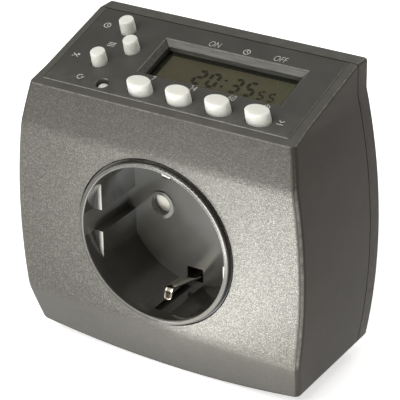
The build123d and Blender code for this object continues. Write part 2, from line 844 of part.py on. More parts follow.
# Line busbar: from the live pin to the power board, ahead of the relay
with BuildPart() as line_busbar:
    add(pin_leg(pin_x, 1))
    busbar_x = power_board_bore + foot_length / 2
    with BuildSketch(facing(cover_inner_y)):
        with Locations(((pin_x + busbar_x) / 2, busbar_height)):
            Rectangle(busbar_x - pin_x + fork_thickness, fork_tail_width)
    extrude(amount=fork_thickness)
    with BuildSketch(facing(cover_inner_y)):
        with Locations((busbar_x, busbar_height)):
            Rectangle(fork_thickness, fork_tail_width)
    extrude(amount=cover_inner_y - power_board_back_y)
write(line_busbar.part, "line_busbar")

# Plug pins, riveted through the plug body's end wall
for pin_name, pin_side in (("line_pin", 1), ("neutral_pin", -1)):
    with BuildPart() as plug_pin:
        with BuildSketch(facing(pin_length)):
            with Locations((pin_side * pin_x, 0)):
                Circle(pin_radius)
        extrude(amount=pin_length)
        fillet(edges().group_by(Axis.Y)[-1], radius=pin_tip_radius)
        with BuildSketch(facing(0)):
            with Locations((pin_side * pin_x, 0)):
                Circle(pin_shank_radius)
        extrude(amount=plug_end_wall)
        with BuildSketch(facing(-plug_end_wall)):
            with Locations((pin_side * pin_x, 0)):
                Circle(pin_head_radius)
        extrude(amount=pin_head_length)
    write(plug_pin.part, pin_name)

# Control fascia: the inset panel with the bevelled display recess and the key holes
fascia_up = (fascia_margin + panel_length) / 2
with BuildPart() as control_fascia:
    with BuildSketch(below(-fascia_proud)):
        with Locations((0, fascia_up + (fit_gap - fascia_rear_gap) / 2)):
            Rectangle(
                2 * (fascia_half_width - fit_gap),
                panel_length - fascia_margin - fit_gap - fascia_rear_gap,
            )
    extrude(amount=-fascia_lip)
    with BuildSketch(below(fascia_lip - fascia_proud)):
        with Locations((0, fascia_up)):
            Rectangle(
                2 * (fascia_half_width - fascia_ledge - fit_gap),
                panel_length - fascia_margin - 2 * (fascia_ledge + fit_gap),
            )
    extrude(amount=-fascia_body)
    with BuildSketch(below(fascia_lip - fascia_proud)):
        with Locations((display_x, display_up)):
            Rectangle(display_width + 2 * frame_wall, display_height + 2 * frame_wall)
    extrude(amount=fascia_lip - fascia_proud - frame_depth)
    with BuildSketch(below(fascia_bottom_depth)):
        with Locations((-post_x, post_up), (post_x, post_up)):
            Circle(post_radius)
    extrude(amount=fascia_bottom_depth - board_depth)
    with BuildSketch(below(frame_depth)):
        with Locations((display_x, display_up)):
            Rectangle(display_width + window_border, display_height + window_border)
    extrude(amount=frame_depth - window_depth, mode=Mode.SUBTRACT)
    with BuildSketch(below(-fascia_proud)):
        with Locations((display_x, display_up)):
            Rectangle(display_width, display_height)
    extrude(
        amount=-(window_depth + fascia_proud),
        taper=degrees(atan2(display_bevel, window_depth + fascia_proud)),
        mode=Mode.SUBTRACT,
    )
    with BuildSketch(below(-fascia_proud)):
        for _, key_x, key_up, key_width, key_height, _, key_gap in keys:
            with Locations((key_x, key_up)):
                key_outline(key_width, key_height, key_gap)
    extrude(amount=-(fascia_lip + fascia_body), mode=Mode.SUBTRACT)
    fascia_top = faces().sort_by(Axis((0, 0, 0), panel.z_dir))[-1]
    chamfer(fascia_top.edges(), length=fascia_edge)
    with BuildSketch(below(board_depth)):
        with Locations((-post_x, post_up), (post_x, post_up)):
            Circle(small_screw_radius + fit_gap)
    extrude(amount=small_screw_length, mode=Mode.SUBTRACT)
write(control_fascia.part, "control_fascia")

# Display window and the liquid crystal cell behind it
with BuildPart() as display_window:
    with BuildSketch(below(window_depth)):
        with Locations((display_x, display_up)):
            Rectangle(
                display_width + window_border - 2 * fit_gap,
                display_height + window_border - 2 * fit_gap,
            )
    extrude(amount=-window_thickness)
write(display_window.part, "display_window")

with BuildPart() as lcd_panel:
    with BuildSketch(below(lcd_depth)):
        with Locations((display_x, display_up)):
            Rectangle(
                display_width + window_border - 2 * fit_gap,
                display_height + window_border - 2 * fit_gap,
            )
    extrude(amount=-lcd_thickness)
write(lcd_panel.part, "lcd_panel")

# Zebra strip: the rubber connector between the cell's lower edge and the control board
with BuildPart() as zebra_strip:
    with BuildSketch(below(lcd_back_depth)):
        with Locations((display_x, display_up - (display_height - zebra_width) / 2)):
            Rectangle(display_width - zebra_width, zebra_width)
    extrude(amount=lcd_back_depth - board_depth)
write(zebra_strip.part, "zebra_strip")

# Control board, screwed to the fascia's two posts
with BuildPart() as control_board:
    with BuildSketch(below(board_depth)):
        with Locations((0, board_margin + board_length / 2)):
            Rectangle(2 * board_half_width, board_length)
        with Locations((-post_x, post_up), (post_x, post_up)):
            Circle(small_screw_radius + fit_gap, mode=Mode.SUBTRACT)
    extrude(amount=-board_thickness)
write(control_board.part, "control_board")

# Keypad mat: a rubber sheet on the board with a collar round every key
with BuildPart() as keypad_mat:
    column_left = left_key_x - round_key_radius - collar_outer - mat_edge
    column_right = right_key_x + round_key_radius + collar_outer
    row_right = keys[-1][1] + oval_key_width / 2 + collar_outer + mat_edge
    row_top = oval_key_up + oval_key_height / 2 + collar_outer
    column_top = clock_key_up + round_key_radius + collar_reach
    with BuildSketch(below(board_depth)):
        with Locations((column_left, board_margin + mat_edge)):
            Rectangle(row_right - column_left, row_top - board_margin - mat_edge, align=Align.MIN)
        with Locations((column_left, board_margin + mat_edge)):
            Rectangle(column_right - column_left, column_top - board_margin - mat_edge, align=Align.MIN)
    extrude(amount=mat_thickness)
    with BuildSketch(below(board_depth)):
        for _, key_x, key_up, key_width, key_height, _, _ in keys:
            with Locations((key_x, key_up)):
                key_outline(key_width, key_height, collar_outer)
    extrude(amount=board_depth - collar_top_depth)
    with BuildSketch(below(board_depth)):
        for _, key_x, key_up, key_width, key_height, _, _ in keys:
            with Locations((key_x, key_up)):
                key_outline(key_width, key_height, collar_reach)
    extrude(amount=board_depth - fascia_bottom_depth, mode=Mode.SUBTRACT)
write(keypad_mat.part, "keypad_mat")

# Keys: moulded caps held under the fascia by a flange, each with a carbon pill at its foot
for key_name, key_x, key_up, key_width, key_height, key_proud, _ in keys:
    with BuildPart() as key:
        with BuildSketch(below(-key_proud)):
            with Locations((key_x, key_up)):
                key_outline(key_width, key_height, 0)
        extrude(amount=-key_proud - pill_top_depth)
        fillet(faces().sort_by(Axis((0, 0, 0), panel.z_dir))[-1].edges(), radius=key_top_radius)
        with BuildSketch(below(key_flange_depth)):
            with Locations((key_x, key_up)):
                key_outline(key_width, key_height, key_flange_width)
        extrude(amount=-key_flange_thickness)
    write(key.part, key_name)
    with BuildPart() as pill:
        with BuildSketch(below(pill_top_depth)):
            with Locations((key_x, key_up)):
                Circle(pill_radius)
        extrude(amount=-pill_thickness)
    write(pill.part, key_name + "_pill")

# Controller chip under its potting, on the back of the control board
with BuildPart() as controller_chip:
    with BuildSketch(below(board_back_depth)):
        with Locations((chip_x, chip_up)):
            Circle(chip_radius)
    extrude(amount=-chip_height)
    fillet(faces().sort_by(Axis((0, 0, 0), panel.z_dir))[0].edges(), radius=chip_edge_radius)
write(controller_chip.part, "controller_chip")

# Quartz crystal in its round can, lying on the board
with BuildPart() as quartz_crystal:
    crystal_middle = below(board_back_depth + crystal_radius)
    crystal_end = crystal_middle.from_local_coords(Vector(crystal_x - crystal_length / 2, crystal_up, 0))
    with BuildSketch(Plane(crystal_end, x_dir=(0, 0, 1), z_dir=(1, 0, 0))):
        Circle(crystal_radius)
    extrude(amount=crystal_length)
write(quartz_crystal.part, "quartz_crystal")

# Backup battery: a round cell between two welded tabs
battery_top_depth = board_back_depth + tab_thickness
battery_low_depth = battery_top_depth + battery_height
with BuildPart() as backup_battery:
    with BuildSketch(below(battery_top_depth)):
        with Locations((battery_x, battery_up)):
            Circle(battery_radius)
    extrude(amount=-battery_height)
    fillet(edges(), radius=battery_edge_radius)
write(backup_battery.part, "backup_battery")

with BuildPart() as battery_tabs:
    with BuildSketch(below(board_back_depth)):
        with Locations((battery_x, battery_up)):
            Rectangle(tab_width, 2 * battery_radius)
    extrude(amount=-tab_thickness)
    leg_x = battery_x + battery_radius + tab_leg_gap
    with BuildSketch(below(battery_low_depth)):
        with Locations(((battery_x + leg_x + tab_thickness) / 2, battery_up)):
            Rectangle(leg_x + tab_thickness - battery_x, tab_width)
    extrude(amount=-tab_thickness)
    with BuildSketch(below(board_back_depth)):
        with Locations((leg_x + tab_thickness / 2, battery_up)):
            Rectangle(tab_thickness, tab_width)
    extrude(amount=board_back_depth - battery_low_depth)
write(battery_tabs.part, "battery_tabs")

# Power board: an upright board round the socket, screwed to two posts of the rear cover
with BuildPart() as power_board:
    with BuildSketch(facing(power_board_back_y)):
        add(outline_face(wall + tongue_width + power_board_gap))
        board_cut = top_height - power_board_top
        with Locations((0, power_board_top + board_cut / 2)):
            Rectangle(2 * top_half_width, board_cut, mode=Mode.SUBTRACT)
        Circle(power_board_bore, mode=Mode.SUBTRACT)
        with Locations(*cover_screw_places):
            Circle(boss_radius + power_board_gap, mode=Mode.SUBTRACT)
        with Locations((-power_post_x, power_post_height), (power_post_x, power_post_height)):
            Circle(small_screw_radius + fit_gap, mode=Mode.SUBTRACT)
    extrude(amount=board_thickness)
write(power_board.part, "power_board")

# Parts on the power board's front: the relay and the mains-dropper supply
with BuildPart() as relay:
    with BuildSketch(facing(power_board_y)):
        with Locations((relay_x, -relay_drop)):
            Rectangle(relay_length, relay_width)
    extrude(amount=relay_height)
    fillet(edges().filter_by(Axis.Y) + edges().group_by(Axis.Y)[0], radius=part_edge_radius)
write(relay.part, "relay")

with BuildPart() as film_capacitor:
    with BuildSketch(facing(power_board_y)):
        with Locations((film_x, -film_drop)):
            Rectangle(film_length, film_width)
    extrude(amount=film_height)
    fillet(edges().filter_by(Axis.Y) + edges().group_by(Axis.Y)[0], radius=part_edge_radius)
write(film_capacitor.part, "film_capacitor")

with BuildPart() as electrolytic_capacitor:
    with BuildSketch(facing(power_board_y)):
        with Locations((electrolytic_x, -electrolytic_drop)):
            Circle(electrolytic_radius)
    extrude(amount=electrolytic_length)
    fillet(edges().group_by(Axis.Y)[0], radius=part_edge_radius)
    with BuildSketch(facing(power_board_y - electrolytic_groove_rise)):
        with Locations((electrolytic_x, -electrolytic_drop)):
            Circle(electrolytic_radius)
            Circle(electrolytic_radius - electrolytic_groove, mode=Mode.SUBTRACT)
    extrude(amount=electrolytic_groove, mode=Mode.SUBTRACT)
write(electrolytic_capacitor.part, "electrolytic_capacitor")

with BuildPart() as rectifier:
    with BuildSketch(facing(power_board_y)):
        with Locations((rectifier_x, -rectifier_drop)):
            Rectangle(rectifier_width, rectifier_length)
    extrude(amount=rectifier_height)
    chamfer(edges().group_by(Axis.Y)[0], length=part_edge_radius)
write(rectifier.part, "rectifier")

with BuildPart() as varistor:
    varistor_y = power_board_y - varistor_stand - varistor_radius
    with BuildSketch(Plane((varistor_x, varistor_y, -varistor_drop), x_dir=(0, 1, 0), z_dir=(1, 0, 0))):
        Circle(varistor_radius)
    extrude(amount=varistor_thickness / 2, both=True)
    fillet(edges(), radius=part_edge_radius)
    with BuildSketch(facing(power_board_y)):
        with Locations((varistor_x, -varistor_drop)):
            with GridLocations(0, varistor_lead_pitch, 1, 2):
                Circle(varistor_lead_radius)
    extrude(amount=varistor_stand + varistor_radius)
write(varistor.part, "varistor")

with BuildPart() as dropper_resistor:
    resistor_y = power_board_y - resistor_cap_radius
    resistor_left = resistor_x - resistor_length / 2
    with BuildSketch(Plane((resistor_left, resistor_y, -resistor_drop), x_dir=(0, 1, 0), z_dir=(1, 0, 0))):
        Circle(resistor_radius)
    extrude(amount=resistor_length)
    cap_left = Plane((resistor_left, resistor_y, -resistor_drop), x_dir=(0, 1, 0), z_dir=(1, 0, 0))
    with BuildSketch(cap_left, cap_left.offset(resistor_length - resistor_cap_length)):
        Circle(resistor_cap_radius)
    extrude(amount=resistor_cap_length)
write(dropper_resistor.part, "dropper_resistor")

# Ribbon cable: the flat lead from the control board down to the power board
ribbon_y = power_board_y - ribbon_thickness / 2
ribbon_up = (ribbon_y - panel_front_y - board_back_depth * sin(panel_angle)) / cos(panel_angle)
ribbon_top = panel_front_height + ribbon_up * sin(panel_angle) - board_back_depth * cos(panel_angle)
with BuildPart() as ribbon_cable:
    ribbon_points = [
        (ribbon_y, ribbon_low_height),
        (ribbon_y, ribbon_low_height + ribbon_bow_rise),
        (ribbon_y - ribbon_bow, ribbon_low_height + 2 * ribbon_bow_rise),
        (ribbon_y, ribbon_top - 2 * fit_gap),
    ]
    with BuildSketch(Plane((ribbon_x, 0, 0), x_dir=(0, 1, 0), z_dir=(1, 0, 0))):
        with BuildLine():
            FilletPolyline(*ribbon_points, radius=ribbon_bend_radius)
        trace(line_width=ribbon_thickness)
    extrude(amount=ribbon_width / 2, both=True)
    ribbon_limit = below(board_back_depth + fit_gap)
    split(bisect_by=ribbon_limit, keep=Keep.BOTTOM)
write(ribbon_cable.part, "ribbon_cable")


# Screws: pan heads with a cross recess
def cross_cut():
    """The two crossed slots of a screw head's recess."""
    with BuildSketch() as cross:
        Rectangle(cross_length, cross_width)
        Rectangle(cross_width, cross_length)
    return cross.sketch


with BuildPart() as cover_screws:
    with BuildSketch(facing(screw_seat_y + screw_head_length)):
        with Locations(*cover_screw_places):
            Circle(screw_head_radius)
    extrude(amount=screw_head_length)
    with BuildSketch(facing(screw_seat_y)):
        with Locations(*cover_screw_places):
            Circle(screw_radius)
    extrude(amount=screw_length)
    with BuildSketch(facing(screw_seat_y + screw_head_length)):
        with Locations(*cover_screw_places):
            add(cross_cut())
    extrude(amount=cross_depth, mode=Mode.SUBTRACT)
write(cover_screws.part, "cover_screws")

with BuildPart() as control_board_screws:
    with BuildSketch(below(board_back_depth)):
        with Locations((-post_x, post_up), (post_x, post_up)):
            Circle(small_head_radius)
    extrude(amount=-small_head_length)
    with BuildSketch(below(board_back_depth)):
        with Locations((-post_x, post_up), (post_x, post_up)):
            Circle(small_screw_radius)
    extrude(amount=small_screw_length)
write(control_board_screws.part, "control_board_screws")

with BuildPart() as power_board_screws:
    with BuildSketch(facing(power_board_y)):
        with Locations((-power_post_x, power_post_height), (power_post_x, power_post_height)):
            Circle(small_head_radius)
    extrude(amount=small_head_length)
    with BuildSketch(facing(power_board_y)):
        with Locations((-power_post_x, power_post_height), (power_post_x, power_post_height)):
            Circle(small_screw_radius)
    extrude(amount=-small_screw_length)
write(power_board_screws.part, "power_board_screws")
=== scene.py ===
import json
from math import cos, pi, radians, sin, tau

import bpy
import numpy as np
from mathutils import Matrix, Vector


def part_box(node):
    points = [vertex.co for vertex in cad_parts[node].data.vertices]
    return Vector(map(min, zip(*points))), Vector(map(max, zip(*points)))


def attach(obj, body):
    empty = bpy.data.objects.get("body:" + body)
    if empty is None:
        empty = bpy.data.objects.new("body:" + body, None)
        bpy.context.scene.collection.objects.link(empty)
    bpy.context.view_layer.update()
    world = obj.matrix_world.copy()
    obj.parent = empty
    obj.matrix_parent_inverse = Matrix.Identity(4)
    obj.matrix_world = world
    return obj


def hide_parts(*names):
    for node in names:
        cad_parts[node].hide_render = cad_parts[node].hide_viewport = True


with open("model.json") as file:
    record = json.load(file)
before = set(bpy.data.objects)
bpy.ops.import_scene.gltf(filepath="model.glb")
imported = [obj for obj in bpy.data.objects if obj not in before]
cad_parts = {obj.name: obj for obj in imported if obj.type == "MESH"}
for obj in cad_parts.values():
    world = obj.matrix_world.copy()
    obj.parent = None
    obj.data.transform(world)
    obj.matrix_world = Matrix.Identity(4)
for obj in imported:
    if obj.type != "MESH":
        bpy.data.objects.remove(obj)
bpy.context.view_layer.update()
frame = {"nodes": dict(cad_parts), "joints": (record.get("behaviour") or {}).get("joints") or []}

MM = 0.001
scene = bpy.context.scene


# Rear cover: the shallow back tray of the box with the round plug body, one piece of dark grey
# plastic from a finely etched mould. Four screws from behind hold it to the front housing.
def joined_mesh(name, points, faces, sharp_angle=32):
    """Points (n, 3) and faces (m, 3 or 4) as a mesh: equal points become one, a face with two equal
    corners loses one of them, and edges sharper than the angle stay crisp."""
    grid = np.round(np.asarray(points, float) / (MM * 1e-4)).astype(np.int64)
    _, first, place = np.unique(grid, axis=0, return_index=True, return_inverse=True)
    faces = place.reshape(-1)[np.asarray(faces)]
    doubled = faces == np.roll(faces, -1, axis=1)
    sides = faces.shape[1] - doubled.sum(axis=1)
    polygons = []
    for count in (3, 4):
        rows = sides == count
        polygons += faces[rows][~doubled[rows]].reshape(-1, count).tolist()
    mesh = bpy.data.meshes.new(name)
    mesh.from_pydata(np.asarray(points, float)[first].tolist(), [], polygons)
    mesh.polygons.foreach_set("use_smooth", np.ones(len(mesh.polygons), bool))
    mesh.set_sharp_from_angle(angle=radians(sharp_angle))
    return mesh


def add_piece(mesh, material, body, slot, *nodes):
    """Puts a mesh into the scene as a piece that rides on a body and stands for these CAD nodes."""
    piece = bpy.data.objects.new(mesh.name, mesh)
    scene.collection.objects.link(piece)
    mesh.materials.append(material)
    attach(piece, body)
    if nodes:
        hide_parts(*nodes)
    return piece


def mesh_points(mesh):
    """A mesh's points as an array (n, 3), in metres."""
    points = np.empty(3 * len(mesh.vertices))
    mesh.vertices.foreach_get("co", points)
    return points.reshape(-1, 3)


def smooth_copy(node, material, body, slot):
    """A CAD node's own triangles joined at equal points, so that its curved walls shade smoothly."""
    source = frame["nodes"][node].data
    corners = np.empty(len(source.loops), np.int64)
    source.loops.foreach_get("vertex_index", corners)
    mesh = joined_mesh(node + "_skin", mesh_points(source), corners.reshape(-1, 3))
    add_piece(mesh, material, body, slot, node)


def finish(name, **sockets):
    """A new material with these shader sockets set, its node tree, shader and object coordinates."""
    material = bpy.data.materials.new(name)
    material.use_nodes = True
    tree = material.node_tree
    shader = tree.nodes["Principled BSDF"]
    for socket, value in sockets.items():
        shader.inputs[socket.replace("_", " ")].default_value = value
    return material, tree, shader, tree.nodes.new("ShaderNodeTexCoord").outputs["Object"]


def speckle(tree, coords, size, detail=2.0):
    """Smooth noise with blotches of this size in metres, from 0 to 1."""
    noise = tree.nodes.new("ShaderNodeTexNoise")
    noise.inputs["Scale"].default_value = 1 / size
    noise.inputs["Detail"].default_value = detail
    tree.links.new(coords, noise.inputs["Vector"])
    return noise.outputs["Fac"]


def ramp(tree, value, stops):
    """A colour from a value: stops are (position, colour) pairs."""
    node = tree.nodes.new("ShaderNodeValToRGB")
    elements = node.color_ramp.elements
    while len(elements) < len(stops):
        elements.new(0.5)
    for element, (position, colour) in zip(elements, stops):
        element.position = position
        element.color = (*colour, 1)
    tree.links.new(value, node.inputs["Fac"])
    return node.outputs["Color"]


def tones(tree, value, dark, light):
    """A colour that goes from dark to light as a value goes from 0.3 to 0.7, where most noise lies."""
    return ramp(tree, value, [(0.3, dark), (0.7, light)])


def between(tree, value, low, high, start=0.3, end=0.7):
    """A number that goes from low to high as the value goes from start to end."""
    node = tree.nodes.new("ShaderNodeMapRange")
    for socket, number in zip(("From Min", "From Max", "To Min", "To Max"), (start, end, low, high)):
        node.inputs[socket].default_value = number
    tree.links.new(value, node.inputs["Value"])
    return node.outputs["Result"]


def raise_grain(tree, shader, height, depth):
    """Bump of this depth in metres from a height between 0 and 1."""
    bump = tree.nodes.new("ShaderNodeBump")
    bump.inputs["Distance"].default_value = depth
    bump.inputs["Strength"].default_value = 1.0
    tree.links.new(height, bump.inputs["Height"])
    tree.links.new(bump.outputs["Normal"], shader.inputs["Normal"])


DRIFT_SIZE, POLISH_SIZE, POLISH_SPREAD = 9 * MM, 1.6 * MM, 0.06


def moulded(name, colour, drift, roughness, grain_size, grain_depth, **sockets):
    """Moulded plastic: the colour drifts by a share over the surface, the gloss varies with the mould's
    polish, and an etched grain of this size and depth in millimetres covers it."""
    material, tree, shader, coords = finish(name, **sockets)
    broad = speckle(tree, coords, DRIFT_SIZE, 3.0)
    drifted = tones(tree, broad, [c * (1 - drift) for c in colour], [c * (1 + drift) for c in colour])
    tree.links.new(drifted, shader.inputs["Base Color"])
    polish = speckle(tree, coords, POLISH_SIZE, 4.0)
    rough = between(tree, polish, roughness - POLISH_SPREAD, roughness + POLISH_SPREAD)
    tree.links.new(rough, shader.inputs["Roughness"])
    raise_grain(tree, shader, speckle(tree, coords, grain_size * MM), grain_depth * MM)
    return material


def reopened(material):
    """A finished material's node tree, shader, present colour and object coordinates, to build on."""
    tree = material.node_tree
    shader = tree.nodes["Principled BSDF"]
    colour = shader.inputs["Base Color"].links[0].from_socket
    return tree, shader, colour, tree.nodes["Texture Coordinate"].outputs["Object"]


def arithmetic(tree, kind, operation, first, second=None):
    """One step of arithmetic: kind is Math for numbers and VectorMath for places. The first value is a
    socket, the second a socket or a constant."""
    node = tree.nodes.new("ShaderNode" + kind)
    node.operation = operation
    tree.links.new(first, node.inputs[0])
    if isinstance(second, bpy.types.NodeSocket):
        tree.links.new(second, node.inputs[1])
    elif second is not None:
        node.inputs[1].default_value = second
    gives_place = kind == "VectorMath" and operation in ("ABSOLUTE", "MULTIPLY")
    return node.outputs["Vector" if gives_place else "Value"]


def facing_share(tree, direction, start, end):
    """How far a surface faces a direction: 0 where their cosine is start, 1 where it is end."""
    normal = tree.nodes.new("ShaderNodeNewGeometry").outputs["Normal"]
    cosine = arithmetic(tree, "VectorMath", "DOT_PRODUCT", normal, direction)
    return between(tree, cosine, 0, 1, start, end)


def blended(tree, share, first, second):
    """The first colour where the share is 0, the second where it is 1."""
    node = tree.nodes.new("ShaderNodeMix")
    node.data_type = "RGBA"
    for socket, source in (("Factor", share), ("A", first), ("B", second)):
        tree.links.new(source, node.inputs[socket])
    return node.outputs["Result"]


HOUSING_COLOUR, TOP_LIGHT_COSINES = (0.0445, 0.0388, 0.0325), (0.55, 0.9)
cover_plastic = moulded(
    "cover_plastic", HOUSING_COLOUR, 0.08, 0.46, 0.25, 0.006, Specular_IOR_Level=0.12
)
tree, shader, plain, coords = reopened(cover_plastic)
# Faces that look upwards are painted lighter in speckled patches: painted light from above.
top_light_speckle = speckle(tree, coords, 3 * MM, 4.0)
painted_top_light = tones(tree, top_light_speckle, (0.078, 0.075, 0.067), (0.100, 0.097, 0.087))
upward = facing_share(tree, (0, 0, 1), *TOP_LIGHT_COSINES)
tree.links.new(blended(tree, upward, plain, painted_top_light), shader.inputs["Base Color"])
smooth_copy("rear_cover", cover_plastic, "housing", "cover_plastic")


# Plug pins and the earth strips in the plug's notches: turned and stamped brass with a nickel plate,
# riveted through the plug body's end wall.
def stretched(tree, coords, scale):
    """Coordinates scaled along each axis: noise on them is drawn out where the scale is small."""
    mapping = tree.nodes.new("ShaderNodeMapping")
    mapping.inputs["Scale"].default_value = scale
    tree.links.new(coords, mapping.inputs["Vector"])
    return mapping.outputs["Vector"]


TARNISH_SIZE, MARK_SIZE, MARK_DEPTH = 2.5 * MM, 0.35 * MM, 0.004 * MM
MARK_SHINE, MARK_DULLNESS = 0.05, 0.09


def plated(name, colour, roughness, streak):
    """Plated metal: fine draw marks, stretched by the streak, under a bright plate that is a little duller
    in places."""
    material, tree, shader, coords = finish(name, Metallic=1.0)
    dull, bright = [0.9 * c for c in colour], [min(1.05 * c, 1) for c in colour]
    tarnish = tones(tree, speckle(tree, coords, TARNISH_SIZE, 4.0), dull, bright)
    tree.links.new(tarnish, shader.inputs["Base Color"])
    marks = speckle(tree, stretched(tree, coords, streak), MARK_SIZE, 5.0)
    rough = between(tree, marks, roughness - MARK_SHINE, roughness + MARK_DULLNESS)
    tree.links.new(rough, shader.inputs["Roughness"])
    raise_grain(tree, shader, marks, MARK_DEPTH)
    return material


pin_nickel = plated("pin_nickel", (0.72, 0.70, 0.66), 0.17, (1, 0.08, 1))
EARTH_LOOK = ((0.80, 0.77, 0.70), 0.14, (1, 0.15, 0.15))
earth_plate = plated("earth_plate", *EARTH_LOOK)
smooth_copy("line_pin", pin_nickel, "housing", "pin_nickel")
smooth_copy("neutral_pin", pin_nickel, "housing", "pin_nickel")
smooth_copy("plug_earth_strap", earth_plate, "housing", "earth_plate")


# Power board and what stands on it: a green laminate board with the relay, the mains-dropper
# capacitors, rectifier, varistor and resistor soldered to it, screwed to two posts of the cover.
def dress(node, material):
    """Gives a CAD node that keeps its own mesh a better material."""
    frame["nodes"][node].material_slots[0].material = material


TRACK_NET, TRACK_HEIGHT, TRACK_EDGES = 4.5 * MM, 0.03 * MM, (0.10, 0.14)


def laminate(name, colour, track):
    """Solder resist over copper: the lines of a coarse net stand for the tracks, a little lighter and
    raised."""
    material, tree, shader, coords = finish(name, Roughness=0.38)
    net = tree.nodes.new("ShaderNodeTexVoronoi")
    net.feature = "DISTANCE_TO_EDGE"
    net.inputs["Scale"].default_value = 1 / TRACK_NET
    tree.links.new(coords, net.inputs["Vector"])
    lines = between(tree, net.outputs["Distance"], 1, 0, *TRACK_EDGES)
    tree.links.new(ramp(tree, lines, [(0.0, colour), (1.0, track)]), shader.inputs["Base Color"])
    raise_grain(tree, shader, lines, TRACK_HEIGHT)
    return material


board_laminate = laminate("board_laminate", (0.02, 0.10, 0.035), (0.05, 0.19, 0.07))
dress("power_board", board_laminate)
dress("relay", moulded("relay_case", (0.015, 0.015, 0.016), 0.1, 0.3, 0.4, 0.004))
dress("film_capacitor", moulded("film_case", (0.42, 0.31, 0.04), 0.1, 0.3, 0.4, 0.004))
dress("electrolytic_capacitor", moulded("electrolytic_sleeve", (0.02, 0.02, 0.035), 0.12, 0.34, 0.6, 0.006))
dress("rectifier", moulded("rectifier_epoxy", (0.016, 0.016, 0.016), 0.12, 0.5, 0.2, 0.008))
dress("varistor", moulded("varistor_coat", (0.02, 0.07, 0.26), 0.12, 0.26, 0.8, 0.02))
dress("dropper_resistor", moulded("resistor_coat", (0.28, 0.17, 0.09), 0.1, 0.45, 0.3, 0.008))


# Contacts behind the socket: stamped brass forks and busbar in an off-white insulating block, and
# the rivet that joins both earth strips through it.
contact_brass = plated("contact_brass", (0.72, 0.50, 0.20), 0.26, (0.12, 1, 0.12))
dress("contact_carrier", moulded("carrier_plastic", (0.62, 0.58, 0.50), 0.05, 0.5, 0.3, 0.006))
for brass_node in ("line_contact", "neutral_contact", "line_busbar", "earth_rivet"):
    dress(brass_node, contact_brass)


# Socket insert: the round cup of polished dark plastic with guide pads and pin holes. Its proud ring
# has the housing front's grain. Its flange is clamped behind the housing's front wall.
def product(tree, first, second):
    """Two numbers multiplied."""
    return arithmetic(tree, "Math", "MULTIPLY", first, second)


def opposite(tree, share):
    """1 where a share is 0, and 0 where it is 1."""
    return between(tree, share, 1, 0, 0, 1)


def split(tree, place):
    """The x, y and z of a place."""
    node = tree.nodes.new("ShaderNodeSeparateXYZ")
    tree.links.new(place, node.inputs["Vector"])
    return node.outputs


FLAKE_SIZE, FLAKE_METAL = 0.20 * MM, 0.65
FLAKE_STOPS = [
    (0.0, (0.078, 0.0748, 0.0665)), (0.65, (0.117, 0.1125, 0.1005)), (1.0, (0.178, 0.171, 0.154)),
]


def flakes(tree, coords, share=1.0):
    """Colour of plastic filled with metal flakes: each cell of a fine net has its own grey, times a
    share."""
    cells = tree.nodes.new("ShaderNodeTexVoronoi")
    cells.inputs["Scale"].default_value = 1 / FLAKE_SIZE
    tree.links.new(coords, cells.inputs["Vector"])
    flake = tree.nodes.new("ShaderNodeSeparateColor")
    tree.links.new(cells.outputs["Color"], flake.inputs["Color"])
    stops = [(position, [share * c for c in grey]) for position, grey in FLAKE_STOPS]
    return ramp(tree, flake.outputs["Red"], stops)


# Each pair says where a zone of the insert's colours begins and where it ends. Depths count from the
# ring's face; radii, widths and heights count from the socket's axis. Cosines are of a surface's normal
# and a direction.
RING_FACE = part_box("socket_insert")[0][1]
RING_DEPTHS = (RING_FACE + 5.0 * MM, RING_FACE + 6.0 * MM)
MOUTH_RADII, LAND_RADII = (19.98 * MM, 20.04 * MM), (20.28 * MM, 20.42 * MM)
RING_RADII, GAP_RADII = (20.2 * MM, 20.4 * MM), (20.95 * MM, 21.15 * MM)
SLOT_WIDTHS, SLOT_HEIGHTS = (17.1 * MM, 17.2 * MM), (3.0 * MM, 3.06 * MM)
PAD_HIGHLIGHT_WIDTHS = (17.35 * MM, 18.35 * MM)
HOLE_REACH = 9.5 * MM
COLLAR_RADII, COLLAR_WIDTHS = (3.65 * MM, 3.75 * MM), (7.9 * MM, 9.1 * MM)
RING_SHADE_DIRECTION, RING_SHADE_REACHES = (0.77, 0, -0.64), (13.5 * MM, 18 * MM)
OUTWARD_COSINES = (0.75, 0.95)
MOUTH_HIGHLIGHT_FACING, MOUTH_HIGHLIGHT_COSINES = (-0.80, 0, -0.60), (0.25, 0.6)
RING_FLAKES, CUP_GLOSS, RUB_ROUGHNESS = 0.8, (0.18, 0.24), 0.4
WAVE_SIZE, WAVE_DEPTH = 1.5 * MM, 0.006 * MM

socket_plastic, tree, shader, coords = finish(
    "socket_plastic", Specular_IOR_Level=0.58, Coat_Weight=0.2, Coat_Roughness=0.12
)
flat_place = arithmetic(tree, "VectorMath", "MULTIPLY", coords, (1, 0, 1))
radius = arithmetic(tree, "VectorMath", "LENGTH", flat_place)
mirrored = arithmetic(tree, "VectorMath", "ABSOLUTE", flat_place)
from_hole = arithmetic(tree, "VectorMath", "DISTANCE", mirrored, (HOLE_REACH, 0, 0))
shade_reach = arithmetic(tree, "VectorMath", "DOT_PRODUCT", coords, RING_SHADE_DIRECTION)
depth = split(tree, coords)["Y"]
width, _, height = split(tree, mirrored)

